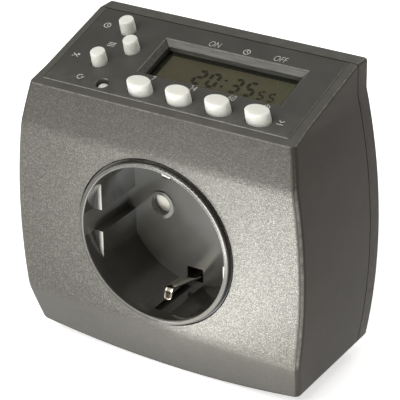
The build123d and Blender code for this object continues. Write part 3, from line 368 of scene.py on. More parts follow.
near_face = between(tree, depth, 1, 0, *RING_DEPTHS)
outside = between(tree, radius, 0, 1, *RING_RADII)
facing_out = facing_share(tree, (0, -1, 0), *OUTWARD_COSINES)
# Painted highlight: the inner edges of the pads' fronts are painted light, and the rest of their fronts
# painted shade.
pad_highlight_share = between(tree, width, 1, 0, *PAD_HIGHLIGHT_WIDTHS)
in_slot = product(
    tree, between(tree, width, 0, 1, *SLOT_WIDTHS), between(tree, height, 1, 0, *SLOT_HEIGHTS)
)
# Painted glint on the side of each pin hole's collar that faces the socket's axis.
collar_glint_share = product(
    tree, between(tree, from_hole, 1, 0, *COLLAR_RADII), between(tree, width, 1, 0, *COLLAR_WIDTHS)
)
past_mouth = between(tree, radius, 0, 1, *MOUTH_RADII)
before_land = between(tree, radius, 1, 0, *LAND_RADII)
mouth_zone = product(tree, near_face, product(tree, past_mouth, before_land))
# Painted highlight on the mouth's fillet, round the top and right of the ring.
mouth_highlight_share = product(tree, mouth_zone, facing_share(tree, MOUTH_HIGHLIGHT_FACING, *MOUTH_HIGHLIGHT_COSINES))
ring_share = product(tree, near_face, outside)
# Painted shade: the ring's face towards its lower right is painted dark, and the gap outside it darker
# still.
ring_shade_share = product(tree, ring_share, between(tree, shade_reach, 0, 1, *RING_SHADE_REACHES))
in_gap = between(tree, radius, 0, 1, *GAP_RADII)
pad_front = product(tree, product(tree, near_face, opposite(tree, outside)), facing_out)
pad_share = product(tree, pad_front, pad_highlight_share)

cup_cloud = speckle(tree, coords, 6 * MM, 3.0)
wall_colour = tones(tree, cup_cloud, (0.026, 0.024, 0.020), (0.034, 0.032, 0.027))
lit_floor_colour = tones(tree, cup_cloud, (0.056, 0.054, 0.0465), (0.064, 0.062, 0.0535))
lit_slot_colour = tones(tree, cup_cloud, (0.060, 0.058, 0.051), (0.075, 0.073, 0.064))
shade_colour = tones(tree, cup_cloud, (0.010, 0.0095, 0.008), (0.016, 0.0155, 0.013))
pad_highlight_colour = tones(tree, cup_cloud, (0.40, 0.385, 0.35), (0.56, 0.545, 0.50))
collar_glint_colour = tones(tree, cup_cloud, (0.21, 0.205, 0.19), (0.27, 0.265, 0.245))
ring_shade_colour = tones(tree, cup_cloud, (0.044, 0.037, 0.024), (0.060, 0.051, 0.034))
mouth_highlight_colour = tones(tree, cup_cloud, (0.46, 0.445, 0.405), (0.60, 0.585, 0.535))
# Painted light in the cup: its floor and the mouth's fillet are painted lighter than its walls, and the
# slot between the pads lighter still.
colour = blended(tree, facing_out, wall_colour, lit_floor_colour)
for share, zone_colour in (
    (in_slot, lit_slot_colour),
    (collar_glint_share, collar_glint_colour),
    (pad_front, blended(tree, pad_highlight_share, shade_colour, pad_highlight_colour)),
    (ring_share, flakes(tree, coords, RING_FLAKES)),
    (mouth_zone, lit_floor_colour),
    (ring_shade_share, blended(tree, in_gap, ring_shade_colour, shade_colour)),
    (mouth_highlight_share, mouth_highlight_colour),
):
    colour = blended(tree, share, colour, zone_colour)
tree.links.new(colour, shader.inputs["Base Color"])

shiny = arithmetic(tree, "Math", "ADD", ring_share, pad_share)
not_dull = product(tree, opposite(tree, mouth_zone), opposite(tree, ring_shade_share))
metal = between(tree, product(tree, shiny, not_dull), 0, FLAKE_METAL, 0, 1)
tree.links.new(metal, shader.inputs["Metallic"])
gloss = between(tree, speckle(tree, coords, 3 * MM, 3.0), *CUP_GLOSS)
dull = between(tree, arithmetic(tree, "Math", "ADD", pad_front, ring_shade_share), 0, RUB_ROUGHNESS, 0, 1)
tree.links.new(arithmetic(tree, "Math", "ADD", gloss, dull), shader.inputs["Roughness"])
raise_grain(tree, shader, speckle(tree, coords, WAVE_SIZE), WAVE_DEPTH)
smooth_copy("socket_insert", socket_plastic, "housing", "socket_plastic")


def tube_faces(rings, points):
    """Quads that join each ring of points to the next."""
    row, column = np.meshgrid(np.arange(rings - 1), np.arange(points), indexing="ij")
    after = (column + 1) % points
    ring, place = np.stack([row, row, row + 1, row + 1], -1), np.stack([column, after, after, column], -1)
    return (ring * points + place).reshape(-1, 4)


def turned(profile, count):
    """A closed profile of (radius, depth) points carried round the socket's axis: x is the radius times the
    cosine and z the radius times the sine of an even division of the circle. Gives points and faces."""
    around = np.linspace(0, tau, count, endpoint=False)
    rings = np.stack([
        profile[:, :1] * np.cos(around),
        np.repeat(profile[:, 1:], count, axis=1) + RING_FACE / MM,
        profile[:, :1] * np.sin(around),
    ], axis=-1)
    return rings.reshape(-1, 3) * MM, tube_faces(len(rings), count)


STEP_INNER, STEP_OUTER = 21.1, 21.65
STEP_FRONT, STEP_BACK = 1.38, 2.6
STEP_POINTS = 160
step_profile = np.array([
    (STEP_INNER, STEP_BACK), (STEP_OUTER, STEP_BACK), (STEP_OUTER, STEP_FRONT), (STEP_INNER, STEP_FRONT),
    (STEP_INNER, STEP_BACK),
])
step_mesh = joined_mesh("ring_step", *turned(step_profile, STEP_POINTS))
add_piece(step_mesh, socket_plastic, "housing", "socket_plastic")


# Shutter and its return spring: a cream plate that closes the pin holes from behind and turns on
# the insert's pivot against a coil of drawn steel wire.
shutter_plastic = moulded("shutter_plastic", (0.66, 0.635, 0.55), 0.05, 0.42, 0.5, 0.006)
smooth_copy("shutter", shutter_plastic, "shutter", "shutter_plastic")
dress("shutter_spring", plated("spring_steel", (0.55, 0.55, 0.55), 0.22, (1, 1, 1)))


# Earth strap: one plated spring strip lying in the insert's channels above and below the pin holes.
# Each end narrows, bends to a nose that presses on a plug, and curls back to a rounded tip.
def slab(outlines):
    """Closed outlines of equal length, (count, points, 3), skinned one to the next, the first and the
    last closed round their middles. Gives points and faces."""
    outlines = np.asarray(outlines, float)
    points = outlines.shape[1]
    closing = np.repeat(outlines[[0, -1]].mean(axis=1, keepdims=True), points, axis=1)
    rings = np.concatenate([closing[:1], outlines, closing[1:]])
    return rings.reshape(-1, 3), tube_faces(len(rings), points)


BEND_POINTS = 13


def rounded_path(points, cuts, spacing):
    """A line (n, 2) whose inner corners become parabolas: each leaves the line its cut before the corner
    and meets it again its cut after. The line is then divided evenly. Gives points and their lengths
    along the line."""
    points, cuts = np.asarray(points, float), np.asarray(cuts, float)[:, None]
    legs = np.diff(points, axis=0)
    legs /= np.linalg.norm(legs, axis=1, keepdims=True)
    corner = points[1:-1]
    start, end = corner - legs[:-1] * cuts, corner + legs[1:] * cuts
    t = np.linspace(0, 1, BEND_POINTS)[:, None, None]
    bends = (1 - t) ** 2 * start + 2 * t * (1 - t) * corner + t ** 2 * end
    line = np.concatenate([points[:1], bends.transpose(1, 0, 2).reshape(-1, 2), points[-1:]])
    length = np.concatenate([[0], np.cumsum(np.linalg.norm(np.diff(line, axis=0), axis=1))])
    along = np.linspace(0, length[-1], int(length[-1] / spacing) + 2)
    return np.stack([np.interp(along, length, line[:, axis]) for axis in (0, 1)], -1), along


STRAP_THICKNESS, STRAP_EDGE, STRAP_CAMBER = 0.6, 0.22, 0.16
STRAP_HALF_WIDTH, TIP_HALF_WIDTH, TIP_ROUND = 2.0, 1.1, 0.75
CUP_DEPTH, CLIP_HEIGHT = 18.8, 17.1
NOSE_DEPTH, NOSE_HEIGHT = 7.1, 15.0
TIP_DEPTH, TIP_HEIGHT = 6.1, 18.0
UPPER_DROP = 0.7
STRAP_BENDS, STRAP_SPACING = (1.5, 1.2, 1.0, 1.0, 1.2, 1.5), 0.2
EDGE_POINTS, STRAP_SHARP_ANGLE = 6, 50


def sprung_strip(line, along):
    """A strip carried along a line of (depth, height) points. Across the line its outline is a rectangle
    with four round edges. Its half width shrinks evenly from the cup's floor to the tip and ends in a
    quarter circle there. A parabola across the width bows both faces."""
    heading = np.gradient(line, axis=0)
    heading /= np.linalg.norm(heading, axis=1, keepdims=True)
    from_tip = np.minimum(along, along[-1] - along)
    half_width = np.interp(line[:, 0], (TIP_DEPTH, CUP_DEPTH), (TIP_HALF_WIDTH, STRAP_HALF_WIDTH))
    half_width -= TIP_ROUND * (1 - np.sqrt(1 - (1 - np.clip(from_tip / TIP_ROUND, 0, 1)) ** 2))
    turn = np.radians(np.array([[0], [90], [180], [270]]) + np.linspace(0, 90, EDGE_POINTS)).ravel()
    side_sign, face_sign = (np.repeat(sign, EDGE_POINTS) for sign in ((1, -1, -1, 1), (1, 1, -1, -1)))
    across = side_sign * (half_width[:, None] - STRAP_EDGE) + STRAP_EDGE * np.cos(turn)
    through = face_sign * (STRAP_THICKNESS / 2 - STRAP_EDGE) + STRAP_EDGE * np.sin(turn)
    through = through + STRAP_CAMBER * (across / STRAP_HALF_WIDTH) ** 2
    points, faces = slab(np.stack([
        across, line[:, :1] - heading[:, 1:] * through, line[:, 1:] + heading[:, :1] * through,
    ], axis=-1))
    return points * MM + np.array([0, RING_FACE, 0]), faces


bar_depth = (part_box("earth_strap")[1][1] - RING_FACE) / MM - STRAP_THICKNESS / 2
half_strap = np.array([
    (TIP_DEPTH, TIP_HEIGHT), (NOSE_DEPTH, NOSE_HEIGHT), (CUP_DEPTH, CLIP_HEIGHT), (bar_depth, CLIP_HEIGHT),
])
strap_corners = np.concatenate([half_strap, half_strap[::-1] * (1, -1)])
strap_corners[1, 1] -= UPPER_DROP
strap_surface = sprung_strip(*rounded_path(strap_corners, STRAP_BENDS, STRAP_SPACING))

NOSE_SHADE_WIDTHS = (0.5 * MM, 0.75 * MM)
NOSE_SHADE_DEPTHS = (RING_FACE + 8.3 * MM, RING_FACE + 8.7 * MM)
NOSE_SHADE_HEIGHTS = (-1 * MM, 0)
# Painted reflection: the lower nose is painted dark along the middle of its width, so that only its edges
# shine.
strap_plate = plated("strap_plate", *EARTH_LOOK)
tree, shader, plain, coords = reopened(strap_plate)
sideways, depth, height = split(tree, coords)
nose_shade_middle = between(tree, arithmetic(tree, "Math", "ABSOLUTE", sideways), 1, 0, *NOSE_SHADE_WIDTHS)
nose_shade_end = between(tree, depth, 1, 0, *NOSE_SHADE_DEPTHS)
nose_shade_low = between(tree, height, 1, 0, *NOSE_SHADE_HEIGHTS)
nose_shade_share = product(tree, nose_shade_low, product(tree, nose_shade_middle, nose_shade_end))
nose_shade_colour = tones(tree, speckle(tree, coords, 0.6 * MM), (0.10, 0.085, 0.06), (0.20, 0.17, 0.12))
tree.links.new(blended(tree, nose_shade_share, plain, nose_shade_colour), shader.inputs["Base Color"])
strap_mesh = joined_mesh("earth_strap_strip", *strap_surface, STRAP_SHARP_ANGLE)
add_piece(strap_mesh, strap_plate, "housing", "earth_plate", "earth_strap")


# Front housing: the main moulding, dark grey plastic. Its front comes from a spark-eroded mould wall
# and glitters with fine metal flakes; its sides are plain. It hooks over the rear cover's tongue.
press_axis = next(joint["axis"] for joint in frame["joints"] if joint["name"] == "clock_key_press")
panel_out = -Vector(press_axis)
front = Vector((0, -1, 0))
side = Vector((1, 0, 0))
EDGE_COSINES = (0.955, 0.985)


def edge_highlights(tree, coords, colour, directions):
    """The colour with painted highlights, light patches on the narrow edges that face half way between two
    sides.
    """
    highlight_patches = speckle(tree, coords, 1.2 * MM, 4.0)
    highlight_colour = tones(tree, highlight_patches, (0.10, 0.096, 0.086), (0.20, 0.195, 0.176))
    for direction in directions:
        edge = facing_share(tree, direction.normalized(), *EDGE_COSINES)
        colour = blended(tree, edge, colour, highlight_colour)
    return colour


SPARK_SIZE, SPARK_DEPTH = 0.29 * MM, 0.10 * MM
SIDE_ROUGHNESS, FRONT_ROUGHNESS = 0.46, 0.28
FRONT_COSINES, FLAT_COSINES, RIM_COSINES = (0.86, 0.93), (0.95, 0.99), (0.60, 0.90)
LEAST_GLITTER, LEAST_SPARK, SHELL_DRIFT = 0.3, 0.15, 0.07
PANEL_EDGES = (front + panel_out, side + panel_out, panel_out - side)
shell_plastic, tree, shader, coords = finish("shell_plastic", Specular_IOR_Level=0.12)
front_share = facing_share(tree, front, *FRONT_COSINES)
flat_share = facing_share(tree, front, *FLAT_COSINES)
cloud = speckle(tree, coords, 7 * MM, 3.0)
shell_dark, shell_light = ([(1 + d) * c for c in HOUSING_COLOUR] for d in (-SHELL_DRIFT, SHELL_DRIFT))
plain = tones(tree, cloud, shell_dark, shell_light)
# Faces that look out of the panel, such as the rim's top, are painted lighter: painted light from above.
painted_rim_light = tones(tree, cloud, (0.084, 0.081, 0.072), (0.102, 0.098, 0.087))
plain = blended(tree, facing_share(tree, panel_out, *RIM_COSINES), plain, painted_rim_light)
# The narrow edges of the panel and the front corners get painted highlights.
plain = edge_highlights(tree, coords, plain, (*PANEL_EDGES, front + side, front - side))
calm = tones(tree, cloud, (0.115, 0.1105, 0.099), (0.125, 0.1205, 0.108))
glitter_share = between(tree, flat_share, LEAST_GLITTER, 1, 0, 1)
glitter = blended(tree, glitter_share, calm, flakes(tree, coords))
tree.links.new(blended(tree, front_share, plain, glitter), shader.inputs["Base Color"])
tree.links.new(between(tree, front_share, 0, FLAKE_METAL, 0, 1), shader.inputs["Metallic"])
rough = between(tree, front_share, SIDE_ROUGHNESS, FRONT_ROUGHNESS, 0, 1)
tree.links.new(rough, shader.inputs["Roughness"])
spark_share = between(tree, flat_share, LEAST_SPARK, 1, 0, 1)
spark_grain = product(tree, speckle(tree, coords, SPARK_SIZE, 3.0), spark_share)
raise_grain(tree, shader, spark_grain, SPARK_DEPTH)
smooth_copy("front_shell", shell_plastic, "housing", "shell_plastic")


# Control board under the panel: laminate with the potted controller, the crystal, the backup cell
# and its welded tabs on its back, two small screws, the flat lead down and the rubber keypad mat.
dress("control_board", board_laminate)
dress("controller_chip", moulded("chip_epoxy", (0.008, 0.008, 0.008), 0.15, 0.3, 1.0, 0.03))
dress("quartz_crystal", plated("crystal_can", (0.62, 0.62, 0.60), 0.24, (0.1, 1, 1)))
dress("backup_battery", plated("battery_can", (0.64, 0.64, 0.62), 0.22, (1, 0.2, 0.2)))
dress("battery_tabs", plated("tab_nickel", (0.60, 0.58, 0.53), 0.3, (0.2, 1, 1)))
dress("ribbon_cable", moulded("ribbon_film", (0.45, 0.45, 0.45), 0.06, 0.45, 0.6, 0.01))
dress("keypad_mat", moulded("mat_rubber", (0.66, 0.66, 0.61), 0.05, 0.62, 0.2, 0.01))
dress("zebra_strip", moulded("zebra_rubber", (0.16, 0.07, 0.07), 0.2, 0.6, 0.2, 0.01))
pill_carbon = moulded("pill_carbon", (0.01, 0.01, 0.01), 0.2, 0.7, 0.15, 0.01)


# Keys: eight warm white caps moulded in one matt plastic, three round and four oval ones that stand
# proud with a slight draft and one small sunken one. Each rests under the fascia by its flange.
# Places on the panel are (x, up, out) from the fascia's low edge and top face, in millimetres.
panel_up = panel_out.cross(Vector((1, 0, 0)))
panel_axes = np.array([(1, 0, 0), panel_up, panel_out])
fascia_points = mesh_points(frame["nodes"]["control_fascia"].data) @ panel_axes.T / MM
panel_zero = np.array([0, fascia_points[:, 1].min(), fascia_points[:, 2].max()])


def on_panel(local):
    """Places (x, up, out) on the panel in millimetres as points of the whole part in metres."""
    return (np.asarray(local, float) + panel_zero) @ panel_axes * MM


def panel_extent(node):
    """A CAD node's lowest and highest places on the panel."""
    local = mesh_points(frame["nodes"][node].data) @ panel_axes.T / MM - panel_zero
    return local.min(axis=0), local.max(axis=0)


KEY_POINTS, KEY_EDGE_POINTS, CROWN_RINGS, KEY_SHARP_ANGLE = 72, 8, 9, 40
FLANGE_WIDTH, FLANGE_TOP, FLANGE_FOOT = 0.8, -2.55, -3.35
KEY_EDGE, KEY_CROWN = 0.32, 0.10
ROUND_DRAFT, OVAL_DRAFT = 0.12, 0.14


def key_cap(node, draft):
    """An ellipse carried up a profile of reach and height: foot, stem, flange, a side drawn in by its
    draft and a rounded edge. From there the ellipse shrinks to a point over a low crown, a parabola."""
    low, high = panel_extent(node)
    centre = (low + high) / 2
    foot, top = low[2], high[2]
    half = (high - low)[:2] / 2 - FLANGE_WIDTH
    turn = np.linspace(0, pi / 2, KEY_EDGE_POINTS)
    shrink = np.linspace(1, 0, CROWN_RINGS)[1:, None]
    edge_reach = half - draft - KEY_EDGE
    reach = np.concatenate([
        [[0, 0]],
        half + np.array([[0], [0], [FLANGE_WIDTH], [FLANGE_WIDTH], [0], [0]]),
        edge_reach + KEY_EDGE * np.cos(turn)[:, None],
        edge_reach * shrink,
    ])
    height = np.concatenate([
        [foot, foot, FLANGE_FOOT, FLANGE_FOOT, FLANGE_TOP, FLANGE_TOP, min(0, top - 2 * KEY_EDGE)],
        top - KEY_EDGE - KEY_CROWN + KEY_EDGE * np.sin(turn),
        top - KEY_CROWN * shrink[:, 0] ** 2,
    ])
    around = np.linspace(0, tau, KEY_POINTS, endpoint=False)
    local = np.stack([
        centre[0] + reach[:, :1] * np.cos(around),
        centre[1] + reach[:, 1:] * np.sin(around),
        np.repeat(height[:, None], KEY_POINTS, axis=1),
    ], axis=-1)
    faces = tube_faces(len(height), KEY_POINTS)
    return joined_mesh(node + "_cap", on_panel(local.reshape(-1, 3)), faces, KEY_SHARP_ANGLE)


key_rubber = moulded(
    "key_rubber", (0.70, 0.70, 0.655), 0.03, 0.72, 0.35, 0.012,
    Subsurface_Weight=0.85, Subsurface_Scale=3.0 * MM, Subsurface_Radius=(1.0, 1.0, 0.92),
)
ROUND_KEYS = ("clock_key", "program_key", "random_key")
OVAL_KEYS = ("week_key", "hour_key", "minute_key", "manual_key")
for keys, draft in ((ROUND_KEYS, ROUND_DRAFT), (OVAL_KEYS, OVAL_DRAFT), (("reset_key",), 0)):
    for key_node in keys:
        add_piece(key_cap(key_node, draft), key_rubber, key_node, "key_rubber", key_node)
        dress(key_node + "_pill", pill_carbon)


# Liquid crystal cell: an olive reflective glass sandwich with plain dark seven-bar figures, seen
# through a clear acrylic window that snaps into the fascia's frame.
lcd_glass, tree, shader, coords = finish("lcd_glass", Roughness=0.28)
cloud = speckle(tree, coords, 16 * MM, 2.0)
olive = [(0.30, (0.037, 0.030, 0.0135)), (0.55, (0.045, 0.040, 0.018)), (0.75, (0.039, 0.041, 0.019))]
tree.links.new(ramp(tree, cloud, olive), shader.inputs["Base Color"])
raise_grain(tree, shader, speckle(tree, coords, 0.12 * MM), 0.004 * MM)
smooth_copy("lcd_panel", lcd_glass, "housing", "lcd_glass")


def together(parts):
    """Several (points, faces) pairs as one pair."""
    starts = np.cumsum([0] + [len(points) for points, _ in parts])
    points = np.concatenate([points for points, _ in parts])
    return points, np.concatenate([faces + start for (_, faces), start in zip(parts, starts)])


FIGURE_LEFTS = (("2", -1.05), ("0", 2.75), ("3", 9.05), ("5", 13.0))
SECOND_LEFTS = (("5", 17.05), ("5", 19.9))
FIGURE_LOW, FIGURE_WIDTH, FIGURE_HEIGHT, FIGURE_BAR = 13.05, 3.1, 5.55, 0.94
SECOND_WIDTH, SECOND_HEIGHT, SECOND_BAR = 2.0, 3.3, 0.58
COLON_X, COLON_RADIUS = 7.3, 0.45
COLON_RISES = (1.5, 3.8)
FIGURE_THICKNESS, BAR_GAP = 0.03, 0.12
BARS = {
    "a": ((0, 1), (1, 1)), "b": ((1, 1), (1, 0.5)), "c": ((1, 0.5), (1, 0)), "d": ((0, 0), (1, 0)),
    "e": ((0, 0.5), (0, 0)), "f": ((0, 1), (0, 0.5)), "g": ((0, 0.5), (1, 0.5)),
}
LIT_BARS = {"2": "abged", "0": "abcdef", "3": "abgcd", "5": "afgcd"}
cell_low, cell_high = panel_extent("lcd_panel")


def figure_bars(figure, left, width, height, thick):
    """The lit bars of a seven-bar figure: each a flat hexagon along its line, pointed at both ends."""
    lines = np.array([BARS[bar] for bar in LIT_BARS[figure]], float)
    lines = lines * np.array([width - thick, height - thick]) + np.array([left, FIGURE_LOW]) + thick / 2
    along = lines[:, 1] - lines[:, 0]
    along = along / np.linalg.norm(along, axis=1, keepdims=True) * thick
    across = np.stack([-along[:, 1], along[:, 0]], -1) / 2
    start, end = lines[:, 0] + BAR_GAP * along, lines[:, 1] - BAR_GAP * along
    return np.stack([
        start, start + along / 2 - across, end - along / 2 - across,
        end, end - along / 2 + across, start + along / 2 + across,
    ], axis=1)


hexagon = np.linspace(0, tau, 6, endpoint=False)
colon = np.array([COLON_X, FIGURE_LOW]) + np.array([[[0, rise]] for rise in COLON_RISES])
figure_sizes = (FIGURE_WIDTH, FIGURE_HEIGHT, FIGURE_BAR)
second_sizes = (SECOND_WIDTH, SECOND_HEIGHT, SECOND_BAR)
outlines = [figure_bars(figure, left, *figure_sizes) for figure, left in FIGURE_LEFTS]
outlines += [figure_bars(figure, left, *second_sizes) for figure, left in SECOND_LEFTS]
outlines.append(colon + COLON_RADIUS * np.stack([np.cos(hexagon), np.sin(hexagon)], -1))
levels = (cell_high[2], cell_high[2] + FIGURE_THICKNESS)
bar_points, bar_faces = together([
    slab([np.column_stack([bar, np.full(len(bar), level)]) for level in levels])
    for bar in np.concatenate(outlines)
])
lcd_ink, tree, shader, coords = finish("lcd_ink", Roughness=0.45, Specular_IOR_Level=0.1)
black = tones(tree, speckle(tree, coords, 2 * MM), (0.004, 0.005, 0.002), (0.008, 0.009, 0.004))
tree.links.new(black, shader.inputs["Base Color"])
add_piece(joined_mesh("lcd_figures", on_panel(bar_points), bar_faces), lcd_ink, "housing", "lcd_glass")


def frame_rings(low, high, steps):
    """Rectangles round a field: one for each step (inset across, inset along, level) from its corners."""
    corners = np.array([(0, 0), (1, 0), (1, 1), (0, 1)])
    inset = np.array(steps)[:, None, :2]
    flat = low[:2] + inset + corners * ((high - low)[:2] - 2 * inset)
    return np.concatenate([flat, np.repeat(np.array(steps)[:, 2:, None], 4, axis=1)], axis=2)


def frame_band(rings):
    """A closed frame: each rectangle is joined to the next, and the last to the first."""
    rings = np.concatenate([rings, rings[:1]])
    return rings.reshape(-1, 3), tube_faces(len(rings), 4)


# A flat black frame, two and a half to three millimetres wide, lies on the cell round its edge and darkens
# its border.
BORDER_ACROSS, BORDER_ALONG = 2.95, 2.5
border_steps = [
    (0, 0, levels[0]), (0, 0, levels[1]),
    (BORDER_ACROSS, BORDER_ALONG, levels[1]), (BORDER_ACROSS, BORDER_ALONG, levels[0]),
]
border_points, border_faces = frame_band(frame_rings(cell_low, cell_high, border_steps))
add_piece(joined_mesh("lcd_border", on_panel(border_points), border_faces), lcd_ink, "housing", "lcd_glass")

PANE_EDGE, PANE_LIFT = 0.12, 0.08
pane_low, pane_high = panel_extent("display_window")
pane_rings = frame_rings(pane_low, pane_high, [
    (PANE_EDGE, PANE_EDGE, pane_low[2] + PANE_LIFT), (0, 0, pane_low[2] + PANE_LIFT + PANE_EDGE),
    (0, 0, pane_high[2] - PANE_EDGE), (PANE_EDGE, PANE_EDGE, pane_high[2]),
])
window_clear, tree, shader, coords = finish(
    "window_clear", Base_Color=(0.92, 0.93, 0.90, 1), Transmission_Weight=1.0, IOR=1.3
)
tree.links.new(between(tree, speckle(tree, coords, 3 * MM), 0.02, 0.06), shader.inputs["Roughness"])
pane_points, pane_faces = slab(pane_rings)
pane_mesh = joined_mesh("display_pane", on_panel(pane_points), pane_faces)
pane = add_piece(pane_mesh, window_clear, "housing", "window_clear", "display_window")
pane.visible_shadow = False


# Control fascia: the inset panel, satin dark grey plastic with the bevelled display recess and the
# key holes, clipped into the housing from outside.
SMUDGE_AND_SHEEN_REACH, LEAST_SMUDGE_AND_SHEEN = 9 * MM, 0.1
fascia_plastic = moulded("fascia_plastic", (0.051, 0.0498, 0.0442), 0.12, 0.42, 0.35, 0.02)
tree, shader, plain, coords = reopened(fascia_plastic)
# Towards its low edge by the keys the fascia is painted lighter in speckled patches: smudges and a painted
# sheen. Its narrow edges get painted highlights.
rise = arithmetic(tree, "VectorMath", "DOT_PRODUCT", coords, panel_up)
panel_low = panel_zero[1] * MM
near_keys = between(tree, rise, 1, LEAST_SMUDGE_AND_SHEEN, panel_low, panel_low + SMUDGE_AND_SHEEN_REACH)
smudges_and_sheen = product(tree, near_keys, between(tree, speckle(tree, coords, 5 * MM, 4.0), 0, 1))
smudge_speckle = speckle(tree, coords, 1.2 * MM, 4.0)
smudge_and_sheen_colour = tones(tree, smudge_speckle, (0.072, 0.070, 0.063), (0.100, 0.097, 0.088))
plain = blended(tree, smudges_and_sheen, plain, smudge_and_sheen_colour)
tree.links.new(edge_highlights(tree, coords, plain, PANEL_EDGES), shader.inputs["Base Color"])
smooth_copy("control_fascia", fascia_plastic, "housing", "fascia_plastic")

WINDOW_LAP = 0.35
BEZEL_RUN, BEZEL_DROP, BEZEL_FOOT = 1.3, 1.3, 1.05
LIP_OUT, LIP_DROP = 0.17, 0.015
BACK_OUT, BACK_DROP, PANE_GAP = 0.1, 0.15, 0.02
pane_top = pane_high[2] + PANE_GAP
bezel_profile = [
    (-BACK_OUT, -BACK_DROP), (BEZEL_FOOT, pane_top), (BEZEL_RUN, pane_top), (BEZEL_RUN, -BEZEL_DROP),
    (-LIP_OUT, -LIP_DROP),
]
bezel_steps = [(WINDOW_LAP + inset, WINDOW_LAP + inset, level) for inset, level in bezel_profile]
bezel_points, bezel_faces = frame_band(frame_rings(pane_low, pane_high, bezel_steps))
bezel_plastic = moulded("bezel_plastic", (0.066, 0.064, 0.056), 0.12, 0.34, 0.30, 0.045)
tree, shader, _, coords = reopened(bezel_plastic)
streaks = speckle(tree, stretched(tree, coords, (0.1, 1, 1)), 0.5 * MM, 3.0)
streaks = ramp(tree, streaks, [(0.35, (0.046, 0.0445, 0.039)), (0.65, (0.082, 0.080, 0.070))])
tree.links.new(streaks, shader.inputs["Base Color"])
bezel_mesh = joined_mesh("display_bezel", on_panel(bezel_points), bezel_faces)
add_piece(bezel_mesh, bezel_plastic, "housing", "fascia_plastic")


# Panel print: white ink signs and plain figures beside the keys and above the display, screen printed
# on the fascia, a few hundredths of a millimetre thick.
def stroke(points, width):
    """A flat band along a line of points (n, 2): each point moves half a width to both sides, square to
    the line's direction there. Gives the band's plate as (points, faces)."""
    points = np.asarray(points, float)
    along = np.gradient(points, axis=0)
    along /= np.linalg.norm(along, axis=1, keepdims=True)
    across = np.stack([-along[:, 1], along[:, 0]], -1) * width / 2
    right, left = points - across, points + across
    low, high = INK_LEVELS
    ring = np.stack([
        np.column_stack([edge, np.full(len(points), level)])
        for edge, level in ((left, low), (left, high), (right, high), (right, low))
    ], axis=1)
    return slab(ring)


def arc(x, y, radius, start, end):
    """Points on an arc, angles in degrees, one every twelve degrees or so."""
    turn = np.radians(np.linspace(start, end, int(abs(end - start) / 12) + 2))
    return np.stack([x + radius * np.cos(turn), y + radius * np.sin(turn)], -1)


INK_LEVELS = (-0.01, 0.03)
INK_WIDTH = 0.2
SIGNS = {
    "clock": [arc(0, 0, 0.85, 0, 360), [(0, 0.55), (0, -0.05)], [(-0.05, 0), (0.45, -0.25)]],
    "list": [[(-0.9, y), (1.1, y)] for y in (-0.6, 0.0, 0.6)],
    "shuffle": [
        [(-0.9, -0.55), (0.9, 0.55)], [(-0.9, 0.55), (0.9, -0.55)],
        [(0.3, 0.62), (0.92, 0.58)], [(0.9, 0.6), (0.8, 0.05)],
    ],
    "restart": [arc(0, 0, 0.75, 60, 350), [(0.3, 0.1), (0.78, -0.12)], [(0.74, -0.12), (1.1, 0.28)]],
    "switch": [arc(0, 0, 0.75, 125, 415), [(0, 0.15), (0, 1.0)]],
    "press": [[(-0.7, 0.75), (0.05, 0.05)], [(-0.05, 0.05), (0.7, 0.75)], [(-0.85, -0.6), (0.85, -0.6)]],
}
SIGN_PLACES = (
    ("clock", -29.9, 22.9), ("list", -24.7, 16.6), ("shuffle", -31.0, 10.2), ("restart", -25.2, 3.3),
    ("clock", 9.05, 24.7), ("switch", 23.75, 8.2), ("press", 29.7, 4.3),
)
print_ink, tree, shader, coords = finish("print_ink", Roughness=0.55)
ink_stops = [(0.3, (0.40, 0.40, 0.38)), (0.6, (0.60, 0.60, 0.57))]
tree.links.new(ramp(tree, speckle(tree, coords, 0.3 * MM, 3.0), ink_stops), shader.inputs["Base Color"])
sign_points, sign_faces = together([
    stroke(np.asarray(path) + np.array([x, up]), INK_WIDTH)
    for sign, x, up in SIGN_PLACES for path in SIGNS[sign]
])
sign_mesh = joined_mesh("panel_signs", on_panel(sign_points), sign_faces)
add_piece(sign_mesh, print_ink, "housing", "fascia_plastic")

LETTER_SIZE, LETTER_WIDTH, LETTER_SLANT, LETTER_THINNING = 2.8, 0.74, 0.10, -0.045
WORDS = (("ON", 0.05, 24.7), ("OFF", 18.15, 24.8), ("7", -7.6, 8.3), ("24", 3.6, 8.3), ("60", 14.3, 8.3))
for word, x, up in WORDS:
    letters = bpy.data.curves.new("print_" + word, "FONT")
    letters.body = word
    letters.align_x = letters.align_y = "CENTER"
    letters.size = LETTER_SIZE
    letters.shear = LETTER_SLANT
    letters.offset = LETTER_THINNING
    letters.extrude = (INK_LEVELS[1] - INK_LEVELS[0]) / 2
    maker = bpy.data.objects.new("print_" + word, letters)
    scene.collection.objects.link(maker)
    mesh = bpy.data.meshes.new_from_object(maker.evaluated_get(bpy.context.evaluated_depsgraph_get()))
    mesh.name = "panel_print_" + word
    bpy.data.objects.remove(maker)
    local = mesh_points(mesh) * np.array([LETTER_WIDTH, 1, 1]) + np.array([x, up, sum(INK_LEVELS) / 2])
    mesh.vertices.foreach_set("co", on_panel(local).ravel())
    add_piece(mesh, print_ink, "housing", "fascia_plastic")


# Screws: zinc plated pan heads with a cross recess. Four sit in the rear cover's wells and hold the
# box together, and four small ones inside hold the two boards.
screw_steel = plated("screw_steel", (0.46, 0.46, 0.44), 0.3, (1, 0.3, 1))
smooth_copy("cover_screws", screw_steel, "housing", "screw_steel")
dress("control_board_screws", screw_steel)
dress("power_board_screws", screw_steel)


